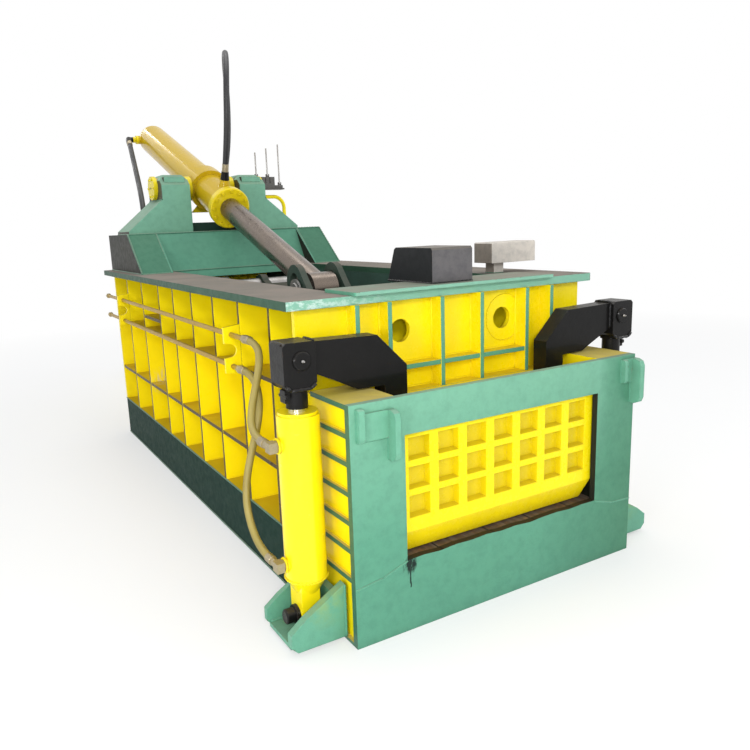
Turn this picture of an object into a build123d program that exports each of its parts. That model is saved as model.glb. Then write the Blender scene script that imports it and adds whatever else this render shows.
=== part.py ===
from build123d import *
from math import atan2, cos, hypot, pi, radians, sin, tan
import os

# Hydraulic scrap baler: open-topped press box, sliding front gate, hinged lid and main ram.
# Model axes: x across the machine, y towards the rear, z up, floor at z = 0.
# Helper functions take y as the distance behind the front plate's front face.

# Overall frame
BASE_LENGTH = 3648.0
FRONT = -BASE_LENGTH / 2
FRAME_FRONT = 370.0
CHAMBER_FRONT = 570.0
CHAMBER_HALF = 510.0
LINER = 15.0
WALL = 20.0
PANEL = 25.0
LINER_OUT = CHAMBER_HALF + LINER
WALL_OUT = LINER_OUT + WALL
RIB_OUT = 782.0
BASE_TOP = 294.0
DECK_TOP = 275.0
FLOOR_TOP = 300.0
FLANGE_TOP = 1320.0
FLANGE_THICK = 36.5
FLANGE_UNDER = FLANGE_TOP - FLANGE_THICK
FLANGE_HALF = 836.0
FLANGE_FRONT = 323.0
FLANGE_REAR = BASE_LENGTH + 96.0
OPENING_FRONT = 580.0
OPENING_REAR = BASE_LENGTH - 696.0
RIB_THICK = 22.0
RIB_FIRST = 625.0
RIB_PITCH = 356.25
REAR_PITCH = 425.0
REAR_RIBS = tuple(BASE_LENGTH - REAR_PITCH * step for step in (3, 2, 1))
RIB_COUNT = round((REAR_RIBS[0] - RIB_FIRST) / RIB_PITCH)
RIB_PLACES = tuple(RIB_FIRST + RIB_PITCH * step for step in range(RIB_COUNT)) + REAR_RIBS
LOW_RAIL = 557.0
HIGH_RAIL = 950.0

# Front frame and gate
PLATE_HALF = 763.5
PLATE_TOP = 967.0
PLATE_THICK = 30.0
MOUTH_HALF = 524.0
MOUTH_SILL = 304.0
MOUTH_TOP = 815.5
GUIDE_IN = 548.0
COLUMN_FRONT = 300.0
HOUSING_RIBS = (276.0, 395.0, 508.0, 623.0, 740.0, 848.0)
GATE_HALF = 542.0
GATE_FRONT = 36.0
GATE_REAR = 280.0
GATE_BOTTOM = 312.0
GATE_TOP = 900.0
POCKET_WIDTH = 102.0
POCKET_HEIGHT = 92.0
POCKET_PITCH = 144.5
POCKET_ROWS = (503.0, 622.0, 741.0)
POCKET_DEPTH = 28.0
LINTEL = 815.0

# Gate arms and cylinders
ARM_FRONT = 180.0
ARM_IN = 384.0
ARM_STEM = 490.0
ARM_REAR = 260.0
HEAD_FRONT = 160.0
HEAD_REAR = 280.0
LIFT_X = 860.0
LIFT_Y = 220.0
ARM_PIN_Z = 1120.0
ARM_PIN_R = 36.0
LIFT_BARREL_R = 84.0
LIFT_BORE_R = 70.0
LIFT_ROD_R = 35.0
LIFT_BASE = 250.0
LIFT_HEAD = 912.0
LIFT_EYE_Z = 95.0
LIFT_EYE_HALF = 40.0
LOW_PIN_R = 30.0
RUN = 0.05
SEAT = 0.1

# Lid, lid hinge and lid cylinder
HINGE_Y = BASE_LENGTH - 768.0
HINGE_Z = FLANGE_TOP - 150.0
HINGE_R = 60.0
LID_HALF = 500.0
LID_TOP = FLANGE_TOP - 290.0
LID_UNDER = LID_TOP - 200.0
LID_FRONT = 615.0
LID_REAR = HINGE_Y - 55.0
TRUNNION_Y = BASE_LENGTH - 108.0
AXIS_SLOPE = 0.372
PIN_AHEAD = 1890.0
PIN_RISE = 201.92
ROD_PIN_Y = TRUNNION_Y - PIN_AHEAD
ROD_PIN_Z = LID_TOP + PIN_RISE
TRUNNION_Z = ROD_PIN_Z + AXIS_SLOPE * PIN_AHEAD
PIN_REACH = hypot(TRUNNION_Y - ROD_PIN_Y, TRUNNION_Z - ROD_PIN_Z)
BARREL_R = 132.5
BARREL_BORE_R = 110.0
HEAD_RING_R = 155.0
LID_ROD_R = 80.0
LID_PIN_R = 45.0
EYE_HALF = 80.0
TRUNNION_R = 60.0
BARREL_HEAD = 470.0
BARREL_TAIL = -1640.0
SLOT_FROM = -3.0
SLOT_TO = 63.0
SLOT_SIDE = 7.0
SLOT_ANGLE = 50.3

# Main ram
RAM_Z = 555.0
RAM_FACE = BASE_LENGTH - 848.0
RAM_BACK = RAM_FACE + 580.0
RAM_HALF = 500.0
RAM_LOW = 306.0
RAM_HIGH = 806.0
MAIN_BARREL_R = 180.0
MAIN_BORE_R = 140.0
MAIN_ROD_R = 90.0
MAIN_HEAD = BASE_LENGTH - 88.0
MAIN_TAIL = BASE_LENGTH + 2432.0

# Hood and lid cylinder brackets
HOOD_HALF = 770.0
HOOD_TOP = TRUNNION_Z - 345.0
HOOD_SKIN = 12.0
HOOD_CREST = BASE_LENGTH - 553.0
WING_FOOT = BASE_LENGTH - 873.0
FACE_FOOT = OPENING_REAR - 15.0
WING_IN = 568.0
POST_IN = 205.0
POST_OUT = 425.0
POST_FRONT = TRUNNION_Y - 190.0
POST_REAR = TRUNNION_Y + 190.0
POST_TOP = TRUNNION_Z + 95.0
POST_WAIST = TRUNNION_Z - 93.0
POST_SPREAD = 700.0
POST_SHELL = 22.0
TIE_TOP = TRUNNION_Z - 220.0
TIE_DIP = 50.0

# Pressure lines along the left wall
LINE_X = -825.0
LINE_R = 12.0
UPPER_LINE_Z = 1120.0
LOWER_LINE_Z = 970.0
HOSE_D = 32.0


def block(x_a, x_b, y_a, y_b, z_a, z_b, mode=Mode.ADD):
    """Plate or bar between two corners; y is counted from the front plate."""
    with Locations(((x_a + x_b) / 2, FRONT + (y_a + y_b) / 2, (z_a + z_b) / 2)):
        Box(abs(x_b - x_a), abs(y_b - y_a), abs(z_b - z_a), mode=mode)


def side_shape(points, x_a, x_b, mode=Mode.ADD):
    """Outline of (y, z) points carried from x_a to x_b."""
    with BuildSketch(Plane.YZ.offset(x_a)) as outline:
        with BuildLine():
            Polyline(*[(FRONT + y, z) for y, z in points], close=True)
        make_face()
    extrude(outline.sketch, amount=x_b - x_a, mode=mode)


def front_shape(points, y_a, y_b, mode=Mode.ADD):
    """Outline of (x, z) points carried from y_a back to y_b."""
    with BuildSketch(Plane.XZ.offset(-FRONT - y_a)) as outline:
        with BuildLine():
            Polyline(*points, close=True)
        make_face()
    extrude(outline.sketch, amount=y_a - y_b, mode=mode)


def round_x(y, z, radius, x_a, x_b, mode=Mode.ADD):
    """Round bar or bore along x."""
    with BuildSketch(Plane.YZ.offset(x_a)) as disc:
        with Locations((FRONT + y, z)):
            Circle(radius)
    extrude(disc.sketch, amount=x_b - x_a, mode=mode)


def round_y(x, z, radius, y_a, y_b, mode=Mode.ADD):
    """Round bar or bore along y."""
    with BuildSketch(Plane.XZ.offset(-FRONT - y_a)) as disc:
        with Locations((x, z)):
            Circle(radius)
    extrude(disc.sketch, amount=y_a - y_b, mode=mode)


def round_z(x, y, radius, z_a, z_b, mode=Mode.ADD):
    """Round bar or bore along z."""
    with BuildSketch(Plane.XY.offset(z_a)) as disc:
        with Locations((x, FRONT + y)):
            Circle(radius)
    extrude(disc.sketch, amount=z_b - z_a, mode=mode)


def save(part, name):
    """Label one subcomponent and write its STEP file."""
    part.label = name
    export_step(part, "parts/" + name + ".step")
    saved.append((name, part.volume))


os.makedirs("parts", exist_ok=True)
saved = []

# Base frame: bottom plate, side beams, deck and cross ribs, one weldment
with BuildPart() as base_frame:
    block(-RIB_OUT, RIB_OUT, FRAME_FRONT, BASE_LENGTH, 0, 12)
    block(-LINER_OUT, LINER_OUT, FRAME_FRONT, BASE_LENGTH, DECK_TOP - PANEL, DECK_TOP)
    for side in (-1, 1):
        block(side * (RIB_OUT - PANEL), side * RIB_OUT, FRAME_FRONT, BASE_LENGTH, 0, BASE_TOP)
        block(side * LINER_OUT, side * RIB_OUT, FRAME_FRONT, BASE_LENGTH, BASE_TOP - PANEL, BASE_TOP)
        block(side * LINER_OUT, side * WALL_OUT, FRAME_FRONT, BASE_LENGTH, 0, BASE_TOP)
    for place in RIB_PLACES:
        block(-RIB_OUT + PANEL, RIB_OUT - PANEL, place - 8, place + 8, 12, DECK_TOP - PANEL)
    for place in RIB_PLACES:
        for side in (-1, 1):
            round_y(side * 250, 135, 70, place - 9, place + 9, Mode.SUBTRACT)
    rear_low = base_frame.edges().filter_by(Axis.X).group_by(Axis.Y)[-1].sort_by(Axis.Z)[0]
    fillet(rear_low, radius=10)
save(base_frame.part, "base_frame")

# Floor liners: wear strips lying lengthwise on the deck
PLUG_PITCH = 380.0
strip_joints = (-CHAMBER_HALF - LINER + 1, -363.0, -114.0, 135.0, 412.0, CHAMBER_HALF + LINER - 1)
with BuildPart() as floor_liners:
    for left_edge, right_edge in zip(strip_joints[:-1], strip_joints[1:]):
        block(left_edge + 1.5, right_edge - 1.5, FRAME_FRONT + 2, BASE_LENGTH - 30, DECK_TOP, FLOOR_TOP)
        for count in range(int((BASE_LENGTH - 580) // PLUG_PITCH) + 1):
            round_z((left_edge + right_edge) / 2, 480 + PLUG_PITCH * count, 16, FLOOR_TOP - 8, FLOOR_TOP,
                    Mode.SUBTRACT)
save(floor_liners.part, "floor_liners")

# Side liners: wear plates on the box's inner faces, lower where they pass the outlet
with BuildPart() as side_liners:
    for side in (-1, 1):
        side_shape([(FRAME_FRONT + 1, FLOOR_TOP), (BASE_LENGTH - 27, FLOOR_TOP), (BASE_LENGTH - 27, FLANGE_UNDER),
                    (CHAMBER_FRONT + 1, FLANGE_UNDER), (CHAMBER_FRONT + 1, LINTEL - 1),
                    (FRAME_FRONT + 1, LINTEL - 1)],
                   side * CHAMBER_HALF, side * LINER_OUT)
        round_x(HINGE_Y, HINGE_Z, HINGE_R + SEAT, side * (CHAMBER_HALF - 1), side * (LINER_OUT + 1),
                Mode.SUBTRACT)
save(side_liners.part, "side_liners")

# Side walls: inner plate, deep upright ribs and lengthwise rails
for side, name in ((-1, "left_side_wall"), (1, "right_side_wall")):
    with BuildPart() as wall:
        block(side * LINER_OUT, side * WALL_OUT, CHAMBER_FRONT, BASE_LENGTH - PANEL, BASE_TOP, FLANGE_UNDER)
        for place in RIB_PLACES:
            block(side * WALL_OUT, side * RIB_OUT, place - RIB_THICK / 2, place + RIB_THICK / 2,
                  BASE_TOP, FLANGE_UNDER)
        for rail in (LOW_RAIL, HIGH_RAIL):
            block(side * WALL_OUT, side * (RIB_OUT - 2), FRAME_FRONT + PANEL, BASE_LENGTH - PANEL,
                  rail - 10, rail + 10)
        block(side * WALL_OUT, side * (RIB_OUT - 2), REAR_RIBS[0], REAR_RIBS[1],
              HIGH_RAIL + 77, HIGH_RAIL + 97)
        round_x(HINGE_Y, HINGE_Z, HINGE_R + SEAT, side * (LINER_OUT - 1), side * (WALL_OUT + 1),
                Mode.SUBTRACT)
    save(wall.part, name)

# Front wall: ribbed box beam above the outlet on two columns
BEAM_LOW = LINTEL + 60
with BuildPart() as front_wall:
    with BuildSketch(Plane.XZ.offset(-FRONT - FRAME_FRONT)) as panel_face:
        with Locations((0, (BASE_TOP + FLANGE_UNDER) / 2)):
            Rectangle(2 * RIB_OUT, FLANGE_UNDER - BASE_TOP)
        with Locations((0, (BASE_TOP + LINTEL) / 2)):
            Rectangle(2 * LINER_OUT, LINTEL - BASE_TOP, mode=Mode.SUBTRACT)
        with Locations((-285, 1147), (285, 1147)):
            Circle(50, mode=Mode.SUBTRACT)
    extrude(amount=-PANEL)
    block(-LINER_OUT, LINER_OUT, FRAME_FRONT + PANEL, CHAMBER_FRONT, LINTEL, LINTEL + PANEL)
    block(-LINER_OUT, LINER_OUT, CHAMBER_FRONT - PANEL, CHAMBER_FRONT, LINTEL, FLANGE_UNDER)
    for side in (-1, 1):
        block(side * LINER_OUT, side * WALL_OUT, FRAME_FRONT, CHAMBER_FRONT, BASE_TOP, FLANGE_UNDER)
        block(side * LINER_OUT, side * WALL_OUT, COLUMN_FRONT, FRAME_FRONT, FLOOR_TOP, FLANGE_UNDER)
        for rib in (110, 380):
            block(side * (rib - 10), side * (rib + 10), COLUMN_FRONT, FRAME_FRONT, BEAM_LOW, FLANGE_UNDER)
            block(side * (rib - 10), side * (rib + 10), FRAME_FRONT + PANEL, CHAMBER_FRONT - PANEL,
                  LINTEL + PANEL, FLANGE_UNDER)
    block(-LINER_OUT, LINER_OUT, COLUMN_FRONT, FRAME_FRONT, BEAM_LOW, BEAM_LOW + 20)
    block(-380, 380, COLUMN_FRONT + 4, FRAME_FRONT, BEAM_LOW + 115, BEAM_LOW + 135)
save(front_wall.part, "front_wall")

# Rear wall: carries the main cylinder
with BuildPart() as rear_wall:
    block(-RIB_OUT, RIB_OUT, BASE_LENGTH - PANEL, BASE_LENGTH, BASE_TOP, FLANGE_UNDER)
    for side in (-1, 1):
        block(side * 320, side * 340, BASE_LENGTH - PANEL - 60, BASE_LENGTH - PANEL, FLOOR_TOP + 2, FLANGE_UNDER)
    round_y(0, RAM_Z, MAIN_BARREL_R + SEAT, BASE_LENGTH - PANEL - 1, BASE_LENGTH + 1, Mode.SUBTRACT)
save(rear_wall.part, "rear_wall")

# Top flange: one plate round the charging opening
with BuildPart() as top_flange:
    with BuildSketch(Plane.XY.offset(FLANGE_UNDER)):
        with Locations((0, FRONT + (FLANGE_FRONT + FLANGE_REAR) / 2)):
            Rectangle(2 * FLANGE_HALF, FLANGE_REAR - FLANGE_FRONT)
        with Locations((0, FRONT + (OPENING_FRONT + OPENING_REAR) / 2)):
            Rectangle(2 * CHAMBER_HALF, OPENING_REAR - OPENING_FRONT, mode=Mode.SUBTRACT)
    extrude(amount=FLANGE_THICK)
    uprights = top_flange.edges().filter_by(Axis.Z)
    outer_front = uprights.group_by(Axis.Y)[0].sort_by(Axis.X)
    fillet(outer_front[-1], radius=30)
    inner_front = top_flange.edges().filter_by(Axis.Z).filter_by_position(
        Axis.Y, FRONT + OPENING_FRONT - 1, FRONT + OPENING_FRONT + 1).sort_by(Axis.X)
    chamfer(inner_front[0], length=40)
    round_off = top_flange.edges().filter_by(Axis.Z).filter_by_position(
        Axis.Y, FRONT + OPENING_FRONT - 1, FRONT + OPENING_FRONT + 1).sort_by(Axis.X)
    fillet(round_off[-1], radius=25)
save(top_flange.part, "top_flange")

# Thin cap plate over the front beam
with BuildPart() as front_cap:
    block(-545, 545, 295, 560, FLANGE_TOP, FLANGE_TOP + 15)
    fillet(front_cap.edges().filter_by(Axis.Z), radius=12)
save(front_cap.part, "front_cap_plate")

# Front plate with the torch-cut sill of the outlet
sill_heights = (0, 3, -2, 4, 1, 5, -1, 2, -4, 1, 3, -2, 2, 0)
sill_step = 2 * MOUTH_HALF / (len(sill_heights) - 1)
sill_points = [(-MOUTH_HALF + sill_step * i, MOUTH_SILL + rise) for i, rise in enumerate(sill_heights)]
with BuildPart() as front_plate:
    with BuildSketch(Plane.XZ.offset(-FRONT)):
        with Locations((0, PLATE_TOP / 2)):
            Rectangle(2 * PLATE_HALF, PLATE_TOP)
        with BuildLine():
            Polyline(*sill_points)
            Polyline(sill_points[-1], (MOUTH_HALF, MOUTH_TOP), (-MOUTH_HALF, MOUTH_TOP), sill_points[0])
        make_face(mode=Mode.SUBTRACT)
    extrude(amount=-PLATE_THICK)
save(front_plate.part, "front_plate")

# Lugs of D-shaped plate welded to the front plate beside the gate slot
def front_lug(x_a, x_b, z_low, z_high, reach):
    """D-shaped plate standing out of the front plate."""
    bend = reach * 0.55
    side_shape([(0, z_low), (-reach + bend, z_low), (-reach + bend * 0.3, z_low + bend * 0.3),
                (-reach, z_low + bend), (-reach, z_high - bend), (-reach + bend * 0.3, z_high - bend * 0.3),
                (-reach + bend, z_high), (0, z_high)], x_a, x_b)


with BuildPart() as front_lugs:
    front_lug(-600, -575, 735, 930, 55)
    front_lug(-735, -710, 823, 950, 25)
    block(-710, -600, -8, 0, 823, 930)
    front_lug(735, PLATE_HALF, 741, 950, 55)
    front_lug(670, 690, 840, 950, 25)
    block(690, 735, -8, 0, 840, 950)
save(front_lugs.part, "front_lugs")

# Sill box under the gate, between the two housings
with BuildPart() as gate_sill:
    block(-GUIDE_IN, GUIDE_IN, PLATE_THICK, FRAME_FRONT, 0, 12)
    block(-GUIDE_IN, GUIDE_IN, PLATE_THICK, FRAME_FRONT, FLOOR_TOP - 30, FLOOR_TOP)
    for rib in (-400, -135, 135, 400):
        block(rib - 10, rib + 10, PLATE_THICK, FRAME_FRONT, 12, FLOOR_TOP - 30)
save(gate_sill.part, "gate_sill")

# Gate housings: ribbed boxes either side of the gate
with BuildPart() as gate_housings:
    for side in (-1, 1):
        block(side * GUIDE_IN, side * (GUIDE_IN + 20), PLATE_THICK, FRAME_FRONT, 0, PLATE_TOP)
        block(side * (PLATE_HALF - 28), side * (PLATE_HALF - 16), PLATE_THICK, FRAME_FRONT, 0, PLATE_TOP - 20)
        block(side * GUIDE_IN, side * PLATE_HALF, PLATE_THICK, COLUMN_FRONT, PLATE_TOP - 20, PLATE_TOP)
        block(side * GUIDE_IN, side * PLATE_HALF, PLATE_THICK, FRAME_FRONT, 0, 15)
        for rib in HOUSING_RIBS:
            block(side * (GUIDE_IN + 20), side * PLATE_HALF, PLATE_THICK, FRAME_FRONT, rib - 10, rib + 10)
save(gate_housings.part, "gate_housings")

# Wear strips behind the gate
with BuildPart() as gate_guides:
    for side in (-1, 1):
        block(side * (LINER_OUT - 10), side * GUIDE_IN, GATE_REAR + 5, COLUMN_FRONT, FLOOR_TOP, PLATE_TOP - 25)
save(gate_guides.part, "gate_guides")

# Gate: pocketed front, bevelled lower edge, hollow box with sockets for the arms
with BuildPart() as gate:
    side_shape([(GATE_FRONT, GATE_TOP), (GATE_FRONT, 400), (65, GATE_BOTTOM), (GATE_REAR, GATE_BOTTOM),
                (GATE_REAR, GATE_TOP)], -GATE_HALF, GATE_HALF)
    for side in (-1, 1):
        front_shape([(side * 600, 290), (side * 486, 290), (side * 490, GATE_BOTTOM), (side * 534, 408),
                     (side * GATE_HALF, 428), (side * 600, 440)], GATE_FRONT - 10, GATE_REAR + 10,
                    Mode.SUBTRACT)
        block(side * ARM_IN, side * ARM_STEM, 100, ARM_REAR, 360, GATE_TOP + 1, Mode.SUBTRACT)
        block(side * 128, side * 363, 100, 250, 360, GATE_TOP - 20, Mode.SUBTRACT)
    block(-113, 113, 100, 250, 360, GATE_TOP - 20, Mode.SUBTRACT)
    pocket_spots = [(POCKET_PITCH * (col - 3), row) for col in range(7) for row in POCKET_ROWS]
    with BuildSketch(Plane.XZ.offset(-FRONT - GATE_FRONT)) as pockets:
        with Locations(*pocket_spots):
            Rectangle(POCKET_WIDTH, POCKET_HEIGHT)
    extrude(pockets.sketch, amount=-POCKET_DEPTH, taper=18, mode=Mode.SUBTRACT)
save(gate.part, "gate")

# Arms that hang the gate from the two lift cylinders
arm_outline = [(934, 1187), (520, 1177), (ARM_IN, 1043), (ARM_IN, 640), (ARM_STEM, 640), (ARM_STEM, 972),
               (616, 975), (672, 1003), (794, 1060), (934, 1060)]
head_outline = [(812, 1190), (922, 1190), (934, 1178), (934, 1035), (912, 1010), (825, 1010), (800, 1035),
                (800, 1178)]
for side, name in ((-1, "left_arm"), (1, "right_arm")):
    with BuildPart() as arm:
        front_shape([(side * x, z) for x, z in arm_outline], ARM_FRONT, ARM_REAR)
        front_shape([(side * x, z) for x, z in head_outline], HEAD_FRONT, HEAD_REAR)
        block(side * 812, side * 906, LIFT_Y - 31, LIFT_Y + 31, 1000, 1168, Mode.SUBTRACT)
        round_y(side * LIFT_X, ARM_PIN_Z, ARM_PIN_R + SEAT, HEAD_FRONT - 1, HEAD_REAR + 1, Mode.SUBTRACT)
    save(arm.part, name)

with BuildPart() as arm_pins:
    for side in (-1, 1):
        round_y(side * LIFT_X, ARM_PIN_Z, ARM_PIN_R, HEAD_FRONT - 9, HEAD_REAR + 9)
    chamfer(arm_pins.edges().filter_by(GeomType.CIRCLE), length=4)
save(arm_pins.part, "arm_pins")

# Lift cylinders: barrel with eye, gland, rod with piston, clamped rod end
PORT_LEVELS = (315.0, 798.0)
with BuildPart() as lift_barrels:
    for side in (-1, 1):
        round_z(side * LIFT_X, LIFT_Y, LIFT_BARREL_R, LIFT_BASE, LIFT_HEAD)
        with BuildSketch(Plane.XY.offset(LIFT_BASE)) as cone_foot:
            with Locations((side * LIFT_X, FRONT + LIFT_Y)):
                Circle(LIFT_BARREL_R)
        extrude(cone_foot.sketch, amount=-60, taper=28)
        side_shape([(LIFT_Y - 52, LIFT_BASE - 20), (LIFT_Y - 52, LIFT_EYE_Z), (LIFT_Y + 52, LIFT_EYE_Z),
                    (LIFT_Y + 52, LIFT_BASE - 20)], side * (LIFT_X + 10 - LIFT_EYE_HALF),
                   side * (LIFT_X + 10 + LIFT_EYE_HALF))
        round_x(LIFT_Y, LIFT_EYE_Z, 52, side * (LIFT_X + 10 - LIFT_EYE_HALF),
                side * (LIFT_X + 10 + LIFT_EYE_HALF))
        round_x(LIFT_Y, LIFT_EYE_Z, LOW_PIN_R + SEAT, side * 700, side * 1000, Mode.SUBTRACT)
        round_z(side * LIFT_X, LIFT_Y, LIFT_BORE_R, LIFT_BASE + 20, LIFT_HEAD + 1, Mode.SUBTRACT)
        for port_z in PORT_LEVELS:
            round_x(LIFT_Y, port_z, 26, side * (LIFT_X + LIFT_BARREL_R - 12),
                    side * (LIFT_X + LIFT_BARREL_R + 8))
save(lift_barrels.part, "lift_barrels")

with BuildPart() as lift_glands:
    for side in (-1, 1):
        round_z(side * LIFT_X, LIFT_Y, LIFT_BORE_R - SEAT, LIFT_HEAD - 70, LIFT_HEAD)
        round_z(side * LIFT_X, LIFT_Y, LIFT_BARREL_R - 6, LIFT_HEAD, LIFT_HEAD + 12)
        round_z(side * LIFT_X, LIFT_Y, LIFT_ROD_R + RUN, LIFT_HEAD - 71, LIFT_HEAD + 13, Mode.SUBTRACT)
save(lift_glands.part, "lift_glands")

with BuildPart() as lift_rods:
    for side in (-1, 1):
        round_z(side * LIFT_X, LIFT_Y, LIFT_ROD_R, LIFT_BASE + 60, 960)
        round_z(side * LIFT_X, LIFT_Y, LIFT_BORE_R - RUN, LIFT_BASE + 30, LIFT_BASE + 90)
save(lift_rods.part, "lift_rods")

with BuildPart() as rod_ends:
    for side in (-1, 1):
        round_z(side * LIFT_X, LIFT_Y, 42.5, 935, 1006)
        side_shape([(LIFT_Y - 30, 1004), (LIFT_Y + 30, 1004), (LIFT_Y + 30, ARM_PIN_Z),
                    (LIFT_Y - 30, ARM_PIN_Z)], side * (LIFT_X - 42), side * (LIFT_X + 42))
        round_y(side * LIFT_X, ARM_PIN_Z, 42, LIFT_Y - 30, LIFT_Y + 30)
        round_y(side * LIFT_X, ARM_PIN_Z, ARM_PIN_R + SEAT, LIFT_Y - 40, LIFT_Y + 40, Mode.SUBTRACT)
        round_z(side * LIFT_X, LIFT_Y, LIFT_ROD_R + SEAT, 930, 960 + SEAT, Mode.SUBTRACT)
        block(side * (LIFT_X + 34), side * (LIFT_X + 58), LIFT_Y - 22, LIFT_Y + 22, 960.5, 1008)
        round_y(side * (LIFT_X + 50), 985, 9, LIFT_Y - 32, LIFT_Y + 32)
save(rod_ends.part, "rod_ends")

# Lower brackets: two gussets and a cross plate hold each lift cylinder's foot pin
gusset_outline = [(PLATE_HALF, 15), (PLATE_HALF, 240), (940, 138), (1000, 92), (1000, 40), (975, 15)]
with BuildPart() as lower_brackets:
    for side in (-1, 1):
        for y_a, y_b in ((85, 120), (320, 345)):
            front_shape([(side * x, z) for x, z in gusset_outline], y_a, y_b)
        block(side * PLATE_HALF, side * 795, 120, 320, 15, 190)
        block(side * PLATE_HALF, side * 990, 120, 320, 15, 33)
        round_x(LIFT_Y, LIFT_EYE_Z, LOW_PIN_R + SEAT, side * 700, side * 1000, Mode.SUBTRACT)
save(lower_brackets.part, "lower_brackets")

with BuildPart() as foot_pins:
    for side in (-1, 1):
        round_x(LIFT_Y, LIFT_EYE_Z, LOW_PIN_R, side * (PLATE_HALF + 0.5), side * 965)
        round_x(LIFT_Y, LIFT_EYE_Z, LOW_PIN_R + 9, side * (LIFT_X + 10 + LIFT_EYE_HALF), side * 925)
    chamfer(foot_pins.edges().group_by(Axis.X)[0], length=5)
    chamfer(foot_pins.edges().group_by(Axis.X)[-1], length=5)
save(foot_pins.part, "foot_pins")

# Hood: sloped sheet housing behind the opening
with BuildPart() as hood:
    for side in (-1, 1):
        side_shape([(WING_FOOT, FLANGE_TOP), (FLANGE_REAR, FLANGE_TOP), (FLANGE_REAR, HOOD_TOP),
                    (HOOD_CREST, HOOD_TOP)], side * (HOOD_HALF - HOOD_SKIN), side * HOOD_HALF)
        side_shape([(WING_FOOT, FLANGE_TOP), (FACE_FOOT + HOOD_SKIN, FLANGE_TOP),
                    (HOOD_CREST + HOOD_SKIN, HOOD_TOP), (HOOD_CREST, HOOD_TOP)],
                   side * (WING_IN - HOOD_SKIN), side * WING_IN)
        side_shape([(WING_FOOT, FLANGE_TOP), (WING_FOOT + 15, FLANGE_TOP), (HOOD_CREST + 15, HOOD_TOP),
                    (HOOD_CREST, HOOD_TOP)], side * WING_IN, side * HOOD_HALF)
    side_shape([(FACE_FOOT, FLANGE_TOP), (FACE_FOOT + 14, FLANGE_TOP), (HOOD_CREST + 14, HOOD_TOP),
                (HOOD_CREST, HOOD_TOP)], -WING_IN, WING_IN)
    face_lean = (HOOD_CREST - FACE_FOOT) / (HOOD_TOP - FLANGE_TOP)
    tongue = 54
    side_shape([(FACE_FOOT - tongue * face_lean, FLANGE_TOP - tongue),
                (FACE_FOOT + 14 - tongue * face_lean, FLANGE_TOP - tongue),
                (FACE_FOOT + 14, FLANGE_TOP), (FACE_FOOT, FLANGE_TOP)], -CHAMBER_HALF + 4, CHAMBER_HALF - 4)
    block(-HOOD_HALF, HOOD_HALF, HOOD_CREST, FLANGE_REAR, HOOD_TOP - HOOD_SKIN, HOOD_TOP)
    block(-HOOD_HALF, HOOD_HALF, FLANGE_REAR - HOOD_SKIN, FLANGE_REAR, FLANGE_TOP, HOOD_TOP)
save(hood.part, "hood")

# Trunnion posts: box brackets with a flared foot, and their bushings and end caps
post_face = [(POST_IN, HOOD_TOP), (POST_IN, POST_TOP - 40), (POST_IN + 30, POST_TOP),
             (POST_OUT - 40, POST_TOP), (POST_OUT, POST_TOP - 45), (POST_OUT, POST_WAIST),
             (POST_SPREAD, HOOD_TOP + POST_SHELL), (POST_SPREAD, HOOD_TOP)]
with BuildPart() as left_post:
    front_shape([(-x, z) for x, z in post_face], POST_FRONT, POST_REAR)
    front_shape([(-POST_IN - 30, HOOD_TOP - 1), (-POST_IN - 30, POST_TOP - 20), (-POST_OUT + 30, POST_TOP - 20),
                 (-POST_OUT + 30, HOOD_TOP - 1)], POST_FRONT + 25, POST_REAR - 25, Mode.SUBTRACT)
    front_shape([(-POST_OUT, HOOD_TOP - 1), (-POST_OUT, POST_WAIST - POST_SHELL), (-POST_SPREAD + 32, HOOD_TOP + 20),
                 (-POST_SPREAD + 32, HOOD_TOP - 1)], POST_FRONT + 25, POST_REAR - 25, Mode.SUBTRACT)
    chamfer(left_post.edges().filter_by(Axis.X).group_by(Axis.Z)[-1], length=80, length2=100)
    round_x(TRUNNION_Y, TRUNNION_Z, TRUNNION_R + 18 + SEAT, -POST_IN + 1, -POST_OUT - 1, Mode.SUBTRACT)

with BuildPart() as trunnion_posts:
    add(left_post.part)
    mirror(left_post.part, about=Plane.YZ)
save(trunnion_posts.part, "trunnion_posts")

with BuildPart() as trunnion_bushings:
    for side in (-1, 1):
        round_x(TRUNNION_Y, TRUNNION_Z, TRUNNION_R + 18, side * POST_IN, side * POST_OUT)
        round_x(TRUNNION_Y, TRUNNION_Z, TRUNNION_R + RUN, side * (POST_IN - 1), side * (POST_OUT + 1),
                Mode.SUBTRACT)
save(trunnion_bushings.part, "trunnion_bushings")

with BuildPart() as trunnion_caps:
    for side in (-1, 1):
        round_x(TRUNNION_Y, TRUNNION_Z, 90, side * POST_OUT, side * (POST_OUT + 30))
        round_x(TRUNNION_Y, TRUNNION_Z, TRUNNION_R + 6, side * (POST_OUT - 1), side * (POST_OUT + 14),
                Mode.SUBTRACT)
        with BuildSketch(Plane.YZ.offset(side * (POST_OUT + 30))) as cap_bolts:
            with Locations((FRONT + TRUNNION_Y, TRUNNION_Z)):
                with PolarLocations(72, 6):
                    RegularPolygon(9, 6)
        extrude(cap_bolts.sketch, amount=side * 7)
save(trunnion_caps.part, "trunnion_caps")

# Cross plate between the posts
with BuildPart() as post_tie:
    front_shape([(-POST_IN, HOOD_TOP), (-POST_IN, TIE_TOP), (-110, TIE_TOP - TIE_DIP), (110, TIE_TOP - TIE_DIP),
                 (POST_IN, TIE_TOP), (POST_IN, HOOD_TOP)], POST_REAR - 90, POST_REAR - 68)
save(post_tie.part, "post_tie_plate")

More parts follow.
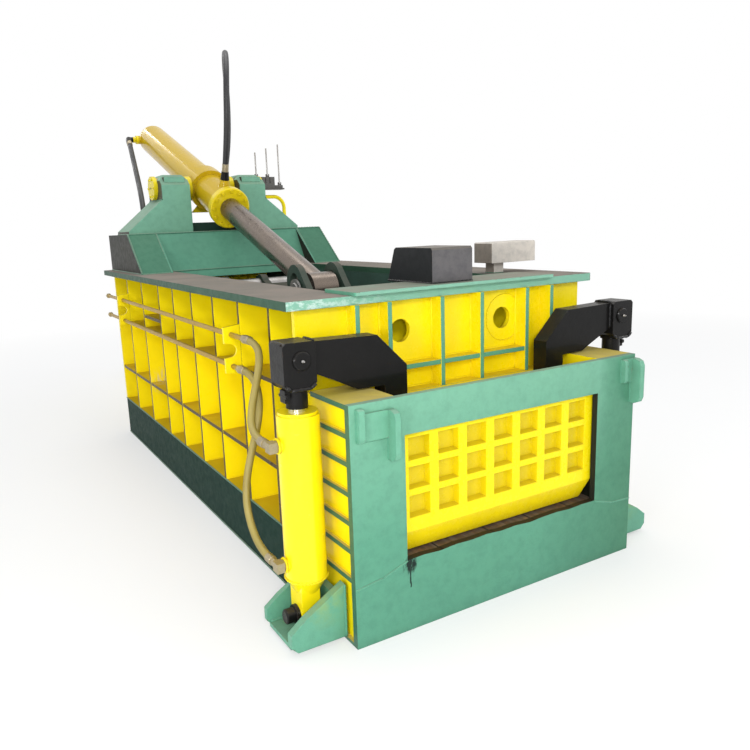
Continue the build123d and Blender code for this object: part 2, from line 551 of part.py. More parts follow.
# Lid: hollow plated slab, hinge arms, rod lugs with the slot for the rod pin
slot_turn = radians(SLOT_ANGLE)
slot_low = (ROD_PIN_Y + SLOT_FROM * cos(slot_turn) + 1.5, ROD_PIN_Z + SLOT_FROM * sin(slot_turn) - 1.3)
slot_high = (ROD_PIN_Y + SLOT_TO * cos(slot_turn) + 1.5, ROD_PIN_Z + SLOT_TO * sin(slot_turn) - 1.3)
slot_r = LID_PIN_R + SLOT_SIDE
lug_r = 102.0
CELL_PITCH = 395.0
lug_in = EYE_HALF + 26
lug_out = lug_in + 40


def slot_hull(radius, x_a, x_b, mode=Mode.ADD):
    """Round-ended shape along the rod pin's slot."""
    across_y = radius * sin(slot_turn)
    across_z = radius * cos(slot_turn)
    round_x(slot_low[0], slot_low[1], radius, x_a, x_b, mode)
    round_x(slot_high[0], slot_high[1], radius, x_a, x_b, mode)
    side_shape([(slot_low[0] - across_y, slot_low[1] + across_z), (slot_low[0] + across_y, slot_low[1] - across_z),
                (slot_high[0] + across_y, slot_high[1] - across_z),
                (slot_high[0] - across_y, slot_high[1] + across_z)], x_a, x_b, mode)


with BuildPart() as lid:
    block(-LID_HALF, LID_HALF, LID_FRONT, LID_REAR, LID_UNDER, LID_TOP)
    for cell in range(int((LID_REAR - LID_FRONT - 235) // CELL_PITCH)):
        cell_y = LID_FRONT + 190 + cell * CELL_PITCH
        for column in (-1, 0, 1):
            block(column * 318 - 140, column * 318 + 140, cell_y, cell_y + CELL_PITCH - 30, LID_UNDER + 30, LID_TOP - 25,
                  Mode.SUBTRACT)
    block(-150, 130, LID_FRONT - 1, 765, LID_UNDER - 1, LID_TOP + 1, Mode.SUBTRACT)
    for arm_a, arm_b in ((-490, -440), (-175, -125), (125, 175), (440, 490)):
        side_shape([(HINGE_Y - 530, LID_TOP - 10), (HINGE_Y - 80, HINGE_Z + 46), (HINGE_Y, HINGE_Z), (LID_REAR, 1100),
                    (LID_REAR, LID_TOP - 10)], arm_a, arm_b)
        round_x(HINGE_Y, HINGE_Z, HINGE_R + 28, arm_a, arm_b)
    side_shape([(HINGE_Y - 460, LID_TOP - 2), (HINGE_Y - 90, HINGE_Z + 22), (HINGE_Y - 85, HINGE_Z + 10),
                (HINGE_Y - 430, LID_TOP - 2)], -440, 440)
    for side in (-1, 1):
        side_shape([(ROD_PIN_Y - 320, LID_TOP - 1), (slot_low[0] - lug_r * sin(slot_turn), slot_low[1] + lug_r * cos(slot_turn)),
                    (slot_high[0] + lug_r * sin(slot_turn), slot_high[1] - lug_r * cos(slot_turn)),
                    (ROD_PIN_Y + 360, LID_TOP - 1)], side * lug_in, side * lug_out)
        slot_hull(lug_r, side * lug_in, side * lug_out)
        slot_hull(slot_r, side * (lug_in - 1), side * (lug_out + 1), Mode.SUBTRACT)
    round_x(HINGE_Y, HINGE_Z, HINGE_R + RUN, -LID_HALF, LID_HALF, Mode.SUBTRACT)
save(lid.part, "lid")

with BuildPart() as hinge_shaft:
    round_x(HINGE_Y, HINGE_Z, HINGE_R, -612, 612)
    chamfer(hinge_shaft.edges().filter_by(GeomType.CIRCLE), length=6)
save(hinge_shaft.part, "lid_hinge_shaft")

with BuildPart() as hinge_bearings:
    for side in (-1, 1):
        with BuildSketch(Plane.YZ.offset(side * WALL_OUT)) as keeper_face:
            with Locations((FRONT + HINGE_Y, HINGE_Z)):
                RectangleRounded(134, 190, 20)
                Circle(HINGE_R + SEAT, mode=Mode.SUBTRACT)
                with GridLocations(92, 148, 2, 2):
                    Circle(9.2, mode=Mode.SUBTRACT)
        extrude(keeper_face.sketch, amount=side * 30)
save(hinge_bearings.part, "hinge_bearings")

with BuildPart() as hinge_bearing_bolts:
    for side in (-1, 1):
        with BuildSketch(Plane.YZ.offset(side * (WALL_OUT + 30))) as heads:
            with Locations((FRONT + HINGE_Y, HINGE_Z)):
                with GridLocations(92, 148, 2, 2):
                    RegularPolygon(15, 6)
        extrude(heads.sketch, amount=side * 11)
        with BuildSketch(Plane.YZ.offset(side * WALL_OUT)) as shanks:
            with Locations((FRONT + HINGE_Y, HINGE_Z)):
                with GridLocations(92, 148, 2, 2):
                    Circle(9)
        extrude(shanks.sketch, amount=side * 30)
save(hinge_bearing_bolts.part, "hinge_bearing_bolts")

# Lid cylinder, drawn along its own axis from the trunnion towards the rod eye
tilt = atan2(AXIS_SLOPE, 1)
ram_line = Plane(origin=(0, FRONT + TRUNNION_Y, TRUNNION_Z), x_dir=(1, 0, 0), z_dir=(0, -cos(tilt), -sin(tilt)))


def along(radius, start, end, mode=Mode.ADD):
    """Round bar or bore along the lid cylinder's axis."""
    with BuildSketch(ram_line.offset(start)) as disc:
        Circle(radius)
    extrude(disc.sketch, amount=end - start, mode=mode)


def on_axis(reach, lift=0.0):
    """Distance behind the front plate and height of a point by the cylinder's axis."""
    return (TRUNNION_Y - reach * cos(tilt) - lift * sin(tilt), TRUNNION_Z - reach * sin(tilt) + lift * cos(tilt))


TAIL_PORT = -1545.0
HEAD_PORT = 375.0
with BuildPart() as lid_barrel:
    along(BARREL_R, BARREL_TAIL, BARREL_HEAD)
    fillet(lid_barrel.edges().filter_by(GeomType.CIRCLE).sort_by(Axis.Y)[-1], radius=85)
    along(BARREL_R + 30, -75, 75)
    round_x(TRUNNION_Y, TRUNNION_Z, 90, -POST_IN + 4, POST_IN - 4)
    round_x(TRUNNION_Y, TRUNNION_Z, TRUNNION_R, -POST_OUT - 8, POST_OUT + 8)
    tail_y, tail_z = on_axis(TAIL_PORT)
    round_x(tail_y, tail_z, 38, -BARREL_R - 42, 0)
    round_x(tail_y, tail_z, 27, -BARREL_R - 70, -BARREL_R - 42)
    head_y, head_z = on_axis(HEAD_PORT)
    with BuildSketch(Plane(origin=(0, FRONT + head_y, head_z), x_dir=(1, 0, 0), z_dir=(0, -sin(tilt), cos(tilt)))
                     .offset(BARREL_R - 30)) as head_boss:
        Circle(48)
    extrude(head_boss.sketch, amount=75, taper=12)
    along(BARREL_BORE_R, BARREL_TAIL + 60, BARREL_HEAD + 1, Mode.SUBTRACT)
save(lid_barrel.part, "lid_cylinder_barrel")

with BuildPart() as head_ring:
    along(HEAD_RING_R, BARREL_HEAD, BARREL_HEAD + 55)
    chamfer(head_ring.edges().filter_by(GeomType.CIRCLE).sort_by(Axis.Y)[0], length=8)
    along(BARREL_BORE_R - SEAT, BARREL_HEAD - 90, BARREL_HEAD)
    with BuildSketch(ram_line.offset(BARREL_HEAD + 55)) as ring_bolts:
        with PolarLocations(132, 12):
            RegularPolygon(13, 6)
    extrude(ring_bolts.sketch, amount=12)
    along(LID_ROD_R + RUN, BARREL_HEAD - 91, BARREL_HEAD + 70, Mode.SUBTRACT)
save(head_ring.part, "lid_cylinder_head")

with BuildPart() as lid_rod:
    along(LID_ROD_R, 270, PIN_REACH - 40)
    along(BARREL_BORE_R - RUN, 270, 375)
    round_x(ROD_PIN_Y, ROD_PIN_Z, 98, -EYE_HALF, EYE_HALF)
    round_x(ROD_PIN_Y, ROD_PIN_Z, LID_PIN_R + SEAT, -EYE_HALF - 1, EYE_HALF + 1, Mode.SUBTRACT)
save(lid_rod.part, "lid_cylinder_rod")

with BuildPart() as rod_pin:
    round_x(ROD_PIN_Y, ROD_PIN_Z, LID_PIN_R, -lug_out - 26, lug_out + 26)
    for side in (-1, 1):
        round_x(ROD_PIN_Y, ROD_PIN_Z, LID_PIN_R + 22, side * (lug_out + 8), side * (lug_out + 20))
    chamfer(rod_pin.edges().filter_by(GeomType.CIRCLE).sort_by(Axis.X)[0], length=5)
    chamfer(rod_pin.edges().filter_by(GeomType.CIRCLE).sort_by(Axis.X)[-1], length=5)
save(rod_pin.part, "lid_rod_pin")

# Main ram: platen and ribbed body sliding on the floor liners
with BuildPart() as ram:
    block(-RAM_HALF, RAM_HALF, RAM_FACE, RAM_FACE + 60, RAM_LOW, RAM_HIGH)
    for side in (-1, 1):
        block(side * (RAM_HALF - 30), side * (RAM_HALF - 5), RAM_FACE + 60, RAM_BACK, RAM_LOW + 20, RAM_HIGH - 20)
        block(side * 150, side * 175, RAM_FACE + 60, RAM_BACK - 30, RAM_LOW + 20, RAM_HIGH - 20)
    block(-RAM_HALF + 5, RAM_HALF - 5, RAM_FACE + 60, RAM_BACK, RAM_LOW + 20, RAM_LOW + 45)
    block(-RAM_HALF + 5, RAM_HALF - 5, RAM_FACE + 60, RAM_BACK, RAM_HIGH - 25, RAM_HIGH - 5)
    block(-RAM_HALF + 5, RAM_HALF - 5, RAM_BACK - 30, RAM_BACK, RAM_LOW + 20, RAM_HIGH - 5)
save(ram.part, "ram_body")

with BuildPart() as ram_shoes:
    for x_mid in (-380, 0, 380):
        block(x_mid - 60, x_mid + 60, RAM_FACE + 80, RAM_BACK - 20, FLOOR_TOP + 0.3, RAM_LOW + 20)
save(ram_shoes.part, "ram_shoes")

with BuildPart() as main_barrel:
    round_y(0, RAM_Z, MAIN_BARREL_R, MAIN_HEAD, MAIN_TAIL)
    round_y(0, RAM_Z, 262, BASE_LENGTH, BASE_LENGTH + 60)
    chamfer(main_barrel.edges().filter_by(GeomType.CIRCLE).sort_by(Axis.Y)[-1], length=14)
    for port_y in (BASE_LENGTH + 140, MAIN_TAIL - 110):
        block(-45, 45, port_y - 45, port_y + 45, RAM_Z + MAIN_BARREL_R - 14, RAM_Z + MAIN_BARREL_R + 40)
        round_z(0, port_y, 24, RAM_Z + MAIN_BARREL_R + 40, RAM_Z + MAIN_BARREL_R + 62)
    round_y(0, RAM_Z, MAIN_BORE_R, MAIN_HEAD - 1, MAIN_TAIL - 60, Mode.SUBTRACT)
    with BuildSketch(Plane.XZ.offset(-FRONT - BASE_LENGTH)) as flange_holes:
        with Locations((0, RAM_Z)):
            with PolarLocations(222, 12):
                Circle(15.2)
    extrude(flange_holes.sketch, amount=-60, mode=Mode.SUBTRACT)
save(main_barrel.part, "main_cylinder_barrel")

with BuildPart() as main_gland:
    round_y(0, RAM_Z, MAIN_BORE_R - SEAT, MAIN_HEAD, MAIN_HEAD + 110)
    round_y(0, RAM_Z, MAIN_BARREL_R, MAIN_HEAD - 20, MAIN_HEAD)
    round_y(0, RAM_Z, MAIN_ROD_R + RUN, MAIN_HEAD - 21, MAIN_HEAD + 111, Mode.SUBTRACT)
save(main_gland.part, "main_cylinder_gland")

with BuildPart() as main_rod:
    round_y(0, RAM_Z, MAIN_ROD_R, RAM_BACK, MAIN_TAIL - 100)
    round_y(0, RAM_Z, MAIN_ROD_R + 40, RAM_BACK, RAM_BACK + 40)
    round_y(0, RAM_Z, MAIN_BORE_R - RUN, MAIN_TAIL - 200, MAIN_TAIL - 100)
save(main_rod.part, "main_cylinder_rod")

with BuildPart() as flange_bolts:
    with BuildSketch(Plane.XZ.offset(-FRONT - BASE_LENGTH - 60)) as bolt_heads:
        with Locations((0, RAM_Z)):
            with PolarLocations(222, 12):
                RegularPolygon(25, 6)
    extrude(bolt_heads.sketch, amount=-19)
    with BuildSketch(Plane.XZ.offset(-FRONT - BASE_LENGTH)) as bolt_shanks:
        with Locations((0, RAM_Z)):
            with PolarLocations(222, 12):
                Circle(15)
    extrude(bolt_shanks.sketch, amount=-60)
save(flange_bolts.part, "main_flange_bolts")

# Pressure lines on the left wall with their two-eared brackets and end nuts
LINE_FRONTS = ((UPPER_LINE_Z, 815.0), (LOWER_LINE_Z, 900.0))
LINE_REAR = BASE_LENGTH + 52.0
NUT_LENGTH = 30.0
with BuildPart() as pressure_lines:
    for line_z, line_y in LINE_FRONTS:
        round_y(LINE_X, line_z, LINE_R, line_y, LINE_REAR)
save(pressure_lines.part, "pressure_lines")

with BuildPart() as line_brackets:
    for place in (RIB_PLACES[1], REAR_RIBS[2]):
        with BuildSketch(Plane.XZ.offset(-FRONT - place + 8)) as eared:
            with BuildLine():
                Polyline((-RIB_OUT, 930), (-RIB_OUT - 80, 940), (-RIB_OUT - 80, 1010), (-RIB_OUT - 50, 1014))
                ThreePointArc((-RIB_OUT - 50, 1014), (-RIB_OUT - 20, 1045), (-RIB_OUT - 50, 1076))
                Polyline((-RIB_OUT - 50, 1076), (-RIB_OUT - 80, 1080), (-RIB_OUT - 80, 1156), (-RIB_OUT, 1165),
                         (-RIB_OUT, 930))
            make_face()
            for line_z, line_y in LINE_FRONTS:
                with Locations((LINE_X, line_z)):
                    Circle(LINE_R + SEAT, mode=Mode.SUBTRACT)
        extrude(eared.sketch, amount=-16)
save(line_brackets.part, "line_brackets")

# Nuts on the lines' ends and port elbows on the left lift cylinder
PORT_X = -LIFT_X - LIFT_BARREL_R - 8
ELBOW_X = PORT_X - 24
with BuildPart() as line_fittings:
    for line_z, line_y in LINE_FRONTS:
        for start in (line_y - NUT_LENGTH, LINE_REAR):
            with BuildSketch(Plane.XZ.offset(-FRONT - start)) as nut:
                with Locations((LINE_X, line_z)):
                    RegularPolygon(20, 6)
            extrude(nut.sketch, amount=-NUT_LENGTH)
    for port_z in PORT_LEVELS:
        round_x(LIFT_Y, port_z, 22, PORT_X, PORT_X - 8)
        block(PORT_X - 8, PORT_X - 40, LIFT_Y - 22, LIFT_Y + 22, port_z - 20, port_z + 20)
        round_y(ELBOW_X, port_z, 15, LIFT_Y + 22, 275)
save(line_fittings.part, "line_fittings")


def hose(points, diameter, label):
    """Hose along chosen points: straight runs joined by tangent arcs."""
    corners = [Vector(x, FRONT + y, z) for x, y, z in points]
    radii = []
    for before, here, after in zip(corners, corners[1:], corners[2:]):
        turn = (here - before).get_angle(after - here)
        short = min((here - before).length, (after - here).length)
        radii.append(0.45 * short / tan(radians(turn) / 2))
    route = FilletPolyline(*corners, radius=radii, mode=Mode.PRIVATE)
    with BuildPart() as tube:
        with BuildSketch(Plane(origin=corners[0], z_dir=corners[1] - corners[0])):
            Circle(diameter / 2)
        sweep(path=route)
    print(label, "radii", [round(r) for r in radii], "length", round(route.length),
          "volume share", round(tube.part.volume / (pi * diameter ** 2 / 4 * route.length), 4))
    save(tube.part, label)


hose([(-825, 785, 1120), (-825, 670, 1120), (-852, 569, 1058), (-946, 491, 860), (ELBOW_X, 390, 798),
      (ELBOW_X, 275, 798)], HOSE_D, "upper_lift_hose")
hose([(-825, 870, 970), (-825, 755, 970), (-832, 655, 902), (-865, 600, 795), (-935, 575, 625),
      (-968, 555, 490), (-975, 494, 380), (ELBOW_X, 390, 315), (ELBOW_X, 275, 315)], HOSE_D, "lower_lift_hose")

# Hoses of the lid cylinder, with an elbow on its tail and two wall fittings behind the hood
BIG_HOSE = 44.0
FOOT_Y = FLANGE_REAR + 78.0
FOOT_TOP = HOOD_TOP - 158.0
TAIL_FOOT_X = -455.0
HEAD_FOOT_X = 221.0
elbow_x = -BARREL_R - 108
tail_lead = (-312, 4577, 2222)
tail_exit = (Vector(*tail_lead) - Vector(elbow_x, tail_y, tail_z)).normalized()
with BuildPart() as lid_hose_fittings:
    round_x(tail_y, tail_z, 24, -BARREL_R - 70, elbow_x)
    with BuildSketch(Plane(origin=(elbow_x, FRONT + tail_y, tail_z), z_dir=tail_exit)) as ferrule:
        Circle(27)
    extrude(ferrule.sketch, amount=62)
    with Locations((elbow_x, FRONT + tail_y, tail_z)):
        Sphere(27)
    fitting_y, fitting_z = on_axis(HEAD_PORT, BARREL_R + 45)
    with BuildSketch(Plane(origin=(0, FRONT + fitting_y, fitting_z), x_dir=(1, 0, 0),
                           z_dir=(0, -sin(tilt), cos(tilt)))) as fitting_base:
        Circle(34)
    extrude(fitting_base.sketch, amount=60, taper=6)
save(lid_hose_fittings.part, "lid_hose_fittings")

with BuildPart() as hood_fittings:
    for foot_x in (TAIL_FOOT_X, HEAD_FOOT_X):
        block(foot_x - 28, foot_x + 28, FLANGE_REAR, FOOT_Y + 28, FOOT_TOP - 102, FOOT_TOP - 52)
        round_z(foot_x, FOOT_Y, 27, FOOT_TOP - 52, FOOT_TOP)
save(hood_fittings.part, "hood_fittings")

tail_start = Vector(elbow_x, tail_y, tail_z) + tail_exit * 62
hose([tuple(tail_start), tail_lead, (-380, 4202, 2007), (-420, 3992, 1872), (-445, 3872, 1732),
      (TAIL_FOOT_X, FOOT_Y, 1572), (TAIL_FOOT_X, FOOT_Y, FOOT_TOP)], BIG_HOSE, "tail_hose")

start_y, start_z = on_axis(HEAD_PORT, BARREL_R + 105)
lead_y, lead_z = on_axis(HEAD_PORT, BARREL_R + 385)
hose([(0, start_y, start_z), (0, lead_y, lead_z), (8, 2982, 2590), (50, 3055, 2800), (130, 3270, 2925),
      (225, 3540, 2925), (300, 3735, 2790), (325, 3800, 2590), (318, 3818, 2370), (290, 3822, 2180),
      (250, 3820, 2010), (226, FOOT_Y, 1840), (HEAD_FOOT_X, FOOT_Y, 1630), (HEAD_FOOT_X, FOOT_Y, FOOT_TOP)],
     BIG_HOSE, "head_hose")

# Hand valve behind the right post: bracket, block, return pipe and three upright levers
VALVE_Y = POST_REAR + 48.0
SHELF_TOP = POST_TOP - 90.0
PIPE_R = 16.0
PIPE_X = 560.0
with BuildPart() as valve_bracket:
    block(300, 575, POST_REAR, POST_REAR + 12, SHELF_TOP - 160, SHELF_TOP - 12)
    block(300, 775, POST_REAR, VALVE_Y + 40, SHELF_TOP - 12, SHELF_TOP)
    round_z(PIPE_X, VALVE_Y, PIPE_R + SEAT, SHELF_TOP - 13, SHELF_TOP + 1, Mode.SUBTRACT)
save(valve_bracket.part, "valve_bracket")

VALVE_TOP = SHELF_TOP + 96
LOW_VALVE_TOP = SHELF_TOP + 26
KNUCKLE_R = 11.0
KNUCKLE_LIFT = 15.0
LEVER_PIN_R = 5.0
levers = ((534, VALVE_TOP, 207), (639, VALVE_TOP, 242), (751, LOW_VALVE_TOP, 347))
with BuildPart() as valve_block:
    block(520, 690, VALVE_Y - 36, VALVE_Y + 36, SHELF_TOP, VALVE_TOP)
    block(690, 770, VALVE_Y - 26, VALVE_Y + 26, SHELF_TOP, LOW_VALVE_TOP)
    for land in (565, 605, 645):
        block(land - 3, land + 3, VALVE_Y - 37, VALVE_Y + 37, VALVE_TOP - 56, VALVE_TOP + 1, Mode.SUBTRACT)
    for lever_x, foot_z, lever_length in levers:
        for side in (-1, 1):
            block(lever_x + side * 8, lever_x + side * 13, VALVE_Y - 10, VALVE_Y + 10, foot_z, foot_z + 26)
        round_x(VALVE_Y, foot_z + KNUCKLE_LIFT, LEVER_PIN_R, lever_x - 16, lever_x + 16)
save(valve_block.part, "valve_block")

for count, (lever_x, foot_z, lever_length) in enumerate(levers, 1):
    with BuildPart() as valve_lever:
        round_x(VALVE_Y, foot_z + KNUCKLE_LIFT, KNUCKLE_R, lever_x - 7.5, lever_x + 7.5)
        round_z(lever_x, VALVE_Y, 6, foot_z + KNUCKLE_LIFT, foot_z + lever_length)
        round_x(VALVE_Y, foot_z + KNUCKLE_LIFT, LEVER_PIN_R + RUN, lever_x - 9, lever_x + 9, Mode.SUBTRACT)
    save(valve_lever.part, "valve_lever_" + str(count))

PIPE_LOW = SHELF_TOP - 72
PIPE_FOOT = HOOD_TOP - 120
pipe_path = FilletPolyline((PIPE_X, FRONT + VALVE_Y, SHELF_TOP), (PIPE_X, FRONT + VALVE_Y, PIPE_LOW),
                           (782, FRONT + VALVE_Y, PIPE_LOW), (782, FRONT + VALVE_Y, PIPE_FOOT),
                           (700, FRONT + VALVE_Y, PIPE_FOOT), (700, FRONT + FLANGE_REAR, PIPE_FOOT),
                           radius=[40, 95, 40, 30])
with BuildPart() as return_pipe:
    with BuildSketch(Plane(origin=(PIPE_X, FRONT + VALVE_Y, SHELF_TOP), z_dir=(0, 0, -1))):
        Circle(PIPE_R)
    sweep(path=pipe_path)
save(return_pipe.part, "return_pipe")

# Hold-down block on the front beam and a second block on the flange's right front corner
with BuildPart() as stop_block:
    side_shape([(350, FLANGE_TOP + 15), (350, 1488), (640, 1488), (700, FLANGE_TOP + 15)], -125, 95)
    chamfer(stop_block.edges().filter_by(Axis.X).group_by(Axis.Z)[-1], length=10)
save(stop_block.part, "stop_block")

with BuildPart() as sensor_box:
    block(516, 820, 700, 845, 1374, 1480)
    fillet(sensor_box.edges().filter_by(Axis.Z), radius=8)
    chamfer(sensor_box.edges().group_by(Axis.Z)[-1], length=5)
    block(560, 625, 735, 800, FLANGE_TOP, 1374)
save(sensor_box.part, "sensor_box")

print(len(saved), "nodes")
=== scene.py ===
import math
import random

import bmesh
import bpy
from mathutils import Matrix, Vector


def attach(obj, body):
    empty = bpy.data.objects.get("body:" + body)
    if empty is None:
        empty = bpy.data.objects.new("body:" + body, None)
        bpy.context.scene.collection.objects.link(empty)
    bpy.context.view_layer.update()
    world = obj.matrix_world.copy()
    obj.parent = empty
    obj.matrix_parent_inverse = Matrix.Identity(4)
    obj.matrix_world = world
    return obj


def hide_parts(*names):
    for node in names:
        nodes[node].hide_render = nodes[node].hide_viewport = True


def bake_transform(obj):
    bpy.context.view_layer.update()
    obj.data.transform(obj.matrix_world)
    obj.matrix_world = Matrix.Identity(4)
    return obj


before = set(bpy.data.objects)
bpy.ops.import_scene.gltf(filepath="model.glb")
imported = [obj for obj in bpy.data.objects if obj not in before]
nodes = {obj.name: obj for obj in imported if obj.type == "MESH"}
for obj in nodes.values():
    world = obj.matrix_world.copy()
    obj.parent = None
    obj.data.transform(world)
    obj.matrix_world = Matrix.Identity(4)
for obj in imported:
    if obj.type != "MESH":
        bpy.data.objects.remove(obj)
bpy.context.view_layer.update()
random.seed(7)

# The front plate's face in the row frame, in metres
FRONT = -1.824
BOTH_SIDES = (-1, 1)


def at(x, y, z):
    """A point given in mm behind the front plate, in metres."""
    return Vector((x / 1000, y / 1000 + FRONT, z / 1000))


def link(name, data):
    """A new object in the scene."""
    thing = bpy.data.objects.new(name, data)
    bpy.context.scene.collection.objects.link(thing)
    return thing


# Camera
PICTURE_PX = 750
FOCAL_PX = 701.7
CENTRE_PX = (348.35, 372.2)
SENSOR_MM = 36
CAMERA_PLACE = (-1.9479, -3.9335, 1.6)
YAW = math.radians(29.45)
PITCH = math.radians(-11.87)
ROLL = math.radians(-2.311)
FARTHEST = 200


def place_camera():
    data = bpy.data.cameras.new("camera")
    camera = link("camera", data)
    bpy.context.scene.camera = camera
    ahead = Vector((math.sin(YAW) * math.cos(PITCH), math.cos(YAW) * math.cos(PITCH), math.sin(PITCH)))
    level = Vector((math.cos(YAW), -math.sin(YAW), 0))
    rise = level.cross(ahead)
    right = level * math.cos(ROLL) + rise * math.sin(ROLL)
    up = rise * math.cos(ROLL) - level * math.sin(ROLL)
    turn = Matrix((right, up, -ahead)).transposed().to_4x4()
    camera.matrix_world = Matrix.Translation(CAMERA_PLACE) @ turn
    data.sensor_width = SENSOR_MM
    data.lens = FOCAL_PX * SENSOR_MM / PICTURE_PX
    data.shift_x = (PICTURE_PX / 2 - CENTRE_PX[0]) / PICTURE_PX
    data.shift_y = (CENTRE_PX[1] - PICTURE_PX / 2) / PICTURE_PX
    data.clip_end = FARTHEST


place_camera()


# Shader helpers

# Sockets of a Mix node: first value, second value, result
COLOUR_SOCKETS = (6, 7, 2)
VALUE_SOCKETS = (2, 3, 0)
RAY_SAMPLES = 4


def scaled(colour, factor):
    return tuple(value * factor for value in colour)


class Paint:
    """A node material that is built up in layers on one Principled shader.

    A share is a value from 0 to 1 that says how much of a layer shows.
    """

    def __init__(self, name):
        self.material = bpy.data.materials.new(name)
        self.material.use_nodes = True
        self.tree = self.material.node_tree
        self.shader = self.tree.nodes["Principled BSDF"]
        self.place = self.add("ShaderNodeTexCoord")

    def add(self, kind, **values):
        node = self.tree.nodes.new(kind)
        for key, value in values.items():
            setattr(node, key, value)
        return node

    def put(self, socket, value):
        """Link another node's output, or set a constant."""
        if hasattr(value, "links"):
            self.tree.links.new(value, socket)
        else:
            socket.default_value = value

    def math(self, what, a, b=0.0, clamp=False):
        node = self.add("ShaderNodeMath", operation=what, use_clamp=clamp)
        self.put(node.inputs[0], a)
        self.put(node.inputs[1], b)
        return node.outputs[0]

    def both(self, *shares):
        """Product of the shares."""
        got = shares[0]
        for share in shares[1:]:
            got = self.math("MULTIPLY", got, share)
        return got

    def either(self, *shares):
        """Largest of the shares."""
        got = shares[0]
        for share in shares[1:]:
            got = self.math("MAXIMUM", got, share)
        return got

    def spread(self, value, low, high, peak=None):
        """Share that runs from 0 at low to 1, or to peak, at high."""
        node = self.add("ShaderNodeMapRange", clamp=True)
        self.put(node.inputs["Value"], value)
        node.inputs["From Min"].default_value = low
        node.inputs["From Max"].default_value = high
        share = node.outputs[0]
        return share if peak is None else self.math("MULTIPLY", share, peak)

    def mix(self, share, a, b, blend="MIX"):
        """Colour that runs from a to b."""
        first, second, result = COLOUR_SOCKETS
        node = self.add("ShaderNodeMix", data_type="RGBA", blend_type=blend)
        self.put(node.inputs["Factor"], share)
        self.put(node.inputs[first], a if hasattr(a, "links") else (*a, 1))
        self.put(node.inputs[second], b if hasattr(b, "links") else (*b, 1))
        return node.outputs[result]

    def tint(self, share, tone, factor):
        """The tone, multiplied by a colour where the share is 1."""
        return self.mix(share, tone, self.mix(1.0, tone, factor, "MULTIPLY"))

    def mix_value(self, share, a, b):
        """Number that runs from a to b."""
        first, second, result = VALUE_SOCKETS
        node = self.add("ShaderNodeMix", data_type="FLOAT")
        self.put(node.inputs["Factor"], share)
        self.put(node.inputs[first], a)
        self.put(node.inputs[second], b)
        return node.outputs[result]

    def noise(self, scale, detail=3.0, rough=0.55, stretch=(1, 1, 1), lean=0.0):
        place = self.add("ShaderNodeMapping")
        self.put(place.inputs["Vector"], self.place.outputs["Object"])
        place.inputs["Scale"].default_value = stretch
        node = self.add("ShaderNodeTexNoise")
        self.put(node.inputs["Vector"], place.outputs[0])
        node.inputs["Scale"].default_value = scale
        node.inputs["Detail"].default_value = detail
        node.inputs["Roughness"].default_value = rough
        node.inputs["Distortion"].default_value = lean
        return node.outputs["Fac"]

    def axis(self, name, source="Object"):
        """One coordinate of the point, or of the surface's normal."""
        split = self.add("ShaderNodeSeparateXYZ")
        self.put(split.inputs[0], self.place.outputs[source])
        return split.outputs["xyz".index(name)]

    def span(self, name):
        """Distance from the middle along an axis."""
        return self.math("ABSOLUTE", self.axis(name))

    def along(self, name, sign, source="Object"):
        return self.math("MULTIPLY", self.axis(name, source), sign)

    def faces(self, name, sign, least=0.9):
        """1 where the surface looks along that side of an axis."""
        return self.math("GREATER_THAN", self.along(name, sign, "Normal"), least)

    def faces_sideways(self):
        """1 where the surface looks left or right."""
        return self.math("ADD", self.faces("x", 1), self.faces("x", -1), clamp=True)

    def past(self, name, sign, value):
        """1 where sign times the coordinate is more than value."""
        return self.math("GREATER_THAN", self.along(name, sign), value)

    def before(self, name, sign, value):
        """1 where sign times the coordinate is less than value."""
        return self.math("LESS_THAN", self.along(name, sign), value)

    def within(self, name, low, high):
        """1 where the coordinate is between two values."""
        return self.both(self.past(name, 1, low), self.before(name, 1, high))

    def near(self, point, far, close):
        """Share that runs from 0 at the distance far from a point to 1 at the distance close."""
        reach = self.add("ShaderNodeVectorMath", operation="DISTANCE")
        self.put(reach.inputs[0], self.place.outputs["Object"])
        reach.inputs[1].default_value = tuple(point)
        return self.spread(reach.outputs["Value"], far, close)

    def rounded(self, radius):
        """Normal of the surface with its edges rounded."""
        node = self.add("ShaderNodeBevel", samples=RAY_SAMPLES)
        node.inputs["Radius"].default_value = radius
        return node.outputs[0]

    def edges(self, radius):
        """1 on an outer edge, from how far the rounded normal leaves the true one."""
        soft = self.rounded(radius)
        flat = self.add("ShaderNodeNewGeometry")
        dot = self.add("ShaderNodeVectorMath", operation="DOT_PRODUCT")
        self.put(dot.inputs[0], soft)
        self.put(dot.inputs[1], flat.outputs["Normal"])
        return self.spread(dot.outputs["Value"], 0.995, 0.93)

    def corners(self, reach):
        """1 deep in an inner corner."""
        node = self.add("ShaderNodeAmbientOcclusion", samples=RAY_SAMPLES)
        node.inputs["Distance"].default_value = reach
        return self.spread(node.outputs["AO"], 0.75, 0.25)

    def bump(self, height, strength, depth, under=None):
        node = self.add("ShaderNodeBump")
        node.inputs["Strength"].default_value = strength
        node.inputs["Distance"].default_value = depth
        self.put(node.inputs["Height"], height)
        if under is not None:
            self.put(node.inputs["Normal"], under)
        return node.outputs[0]

    def finish(self, colour, rough, normal=None, metal=None):
        self.put(self.shader.inputs["Base Color"], colour)
        self.put(self.shader.inputs["Roughness"], rough)
        if normal is not None:
            self.put(self.shader.inputs["Normal"], normal)
        if metal is not None:
            self.put(self.shader.inputs["Metallic"], metal)
        return self.material


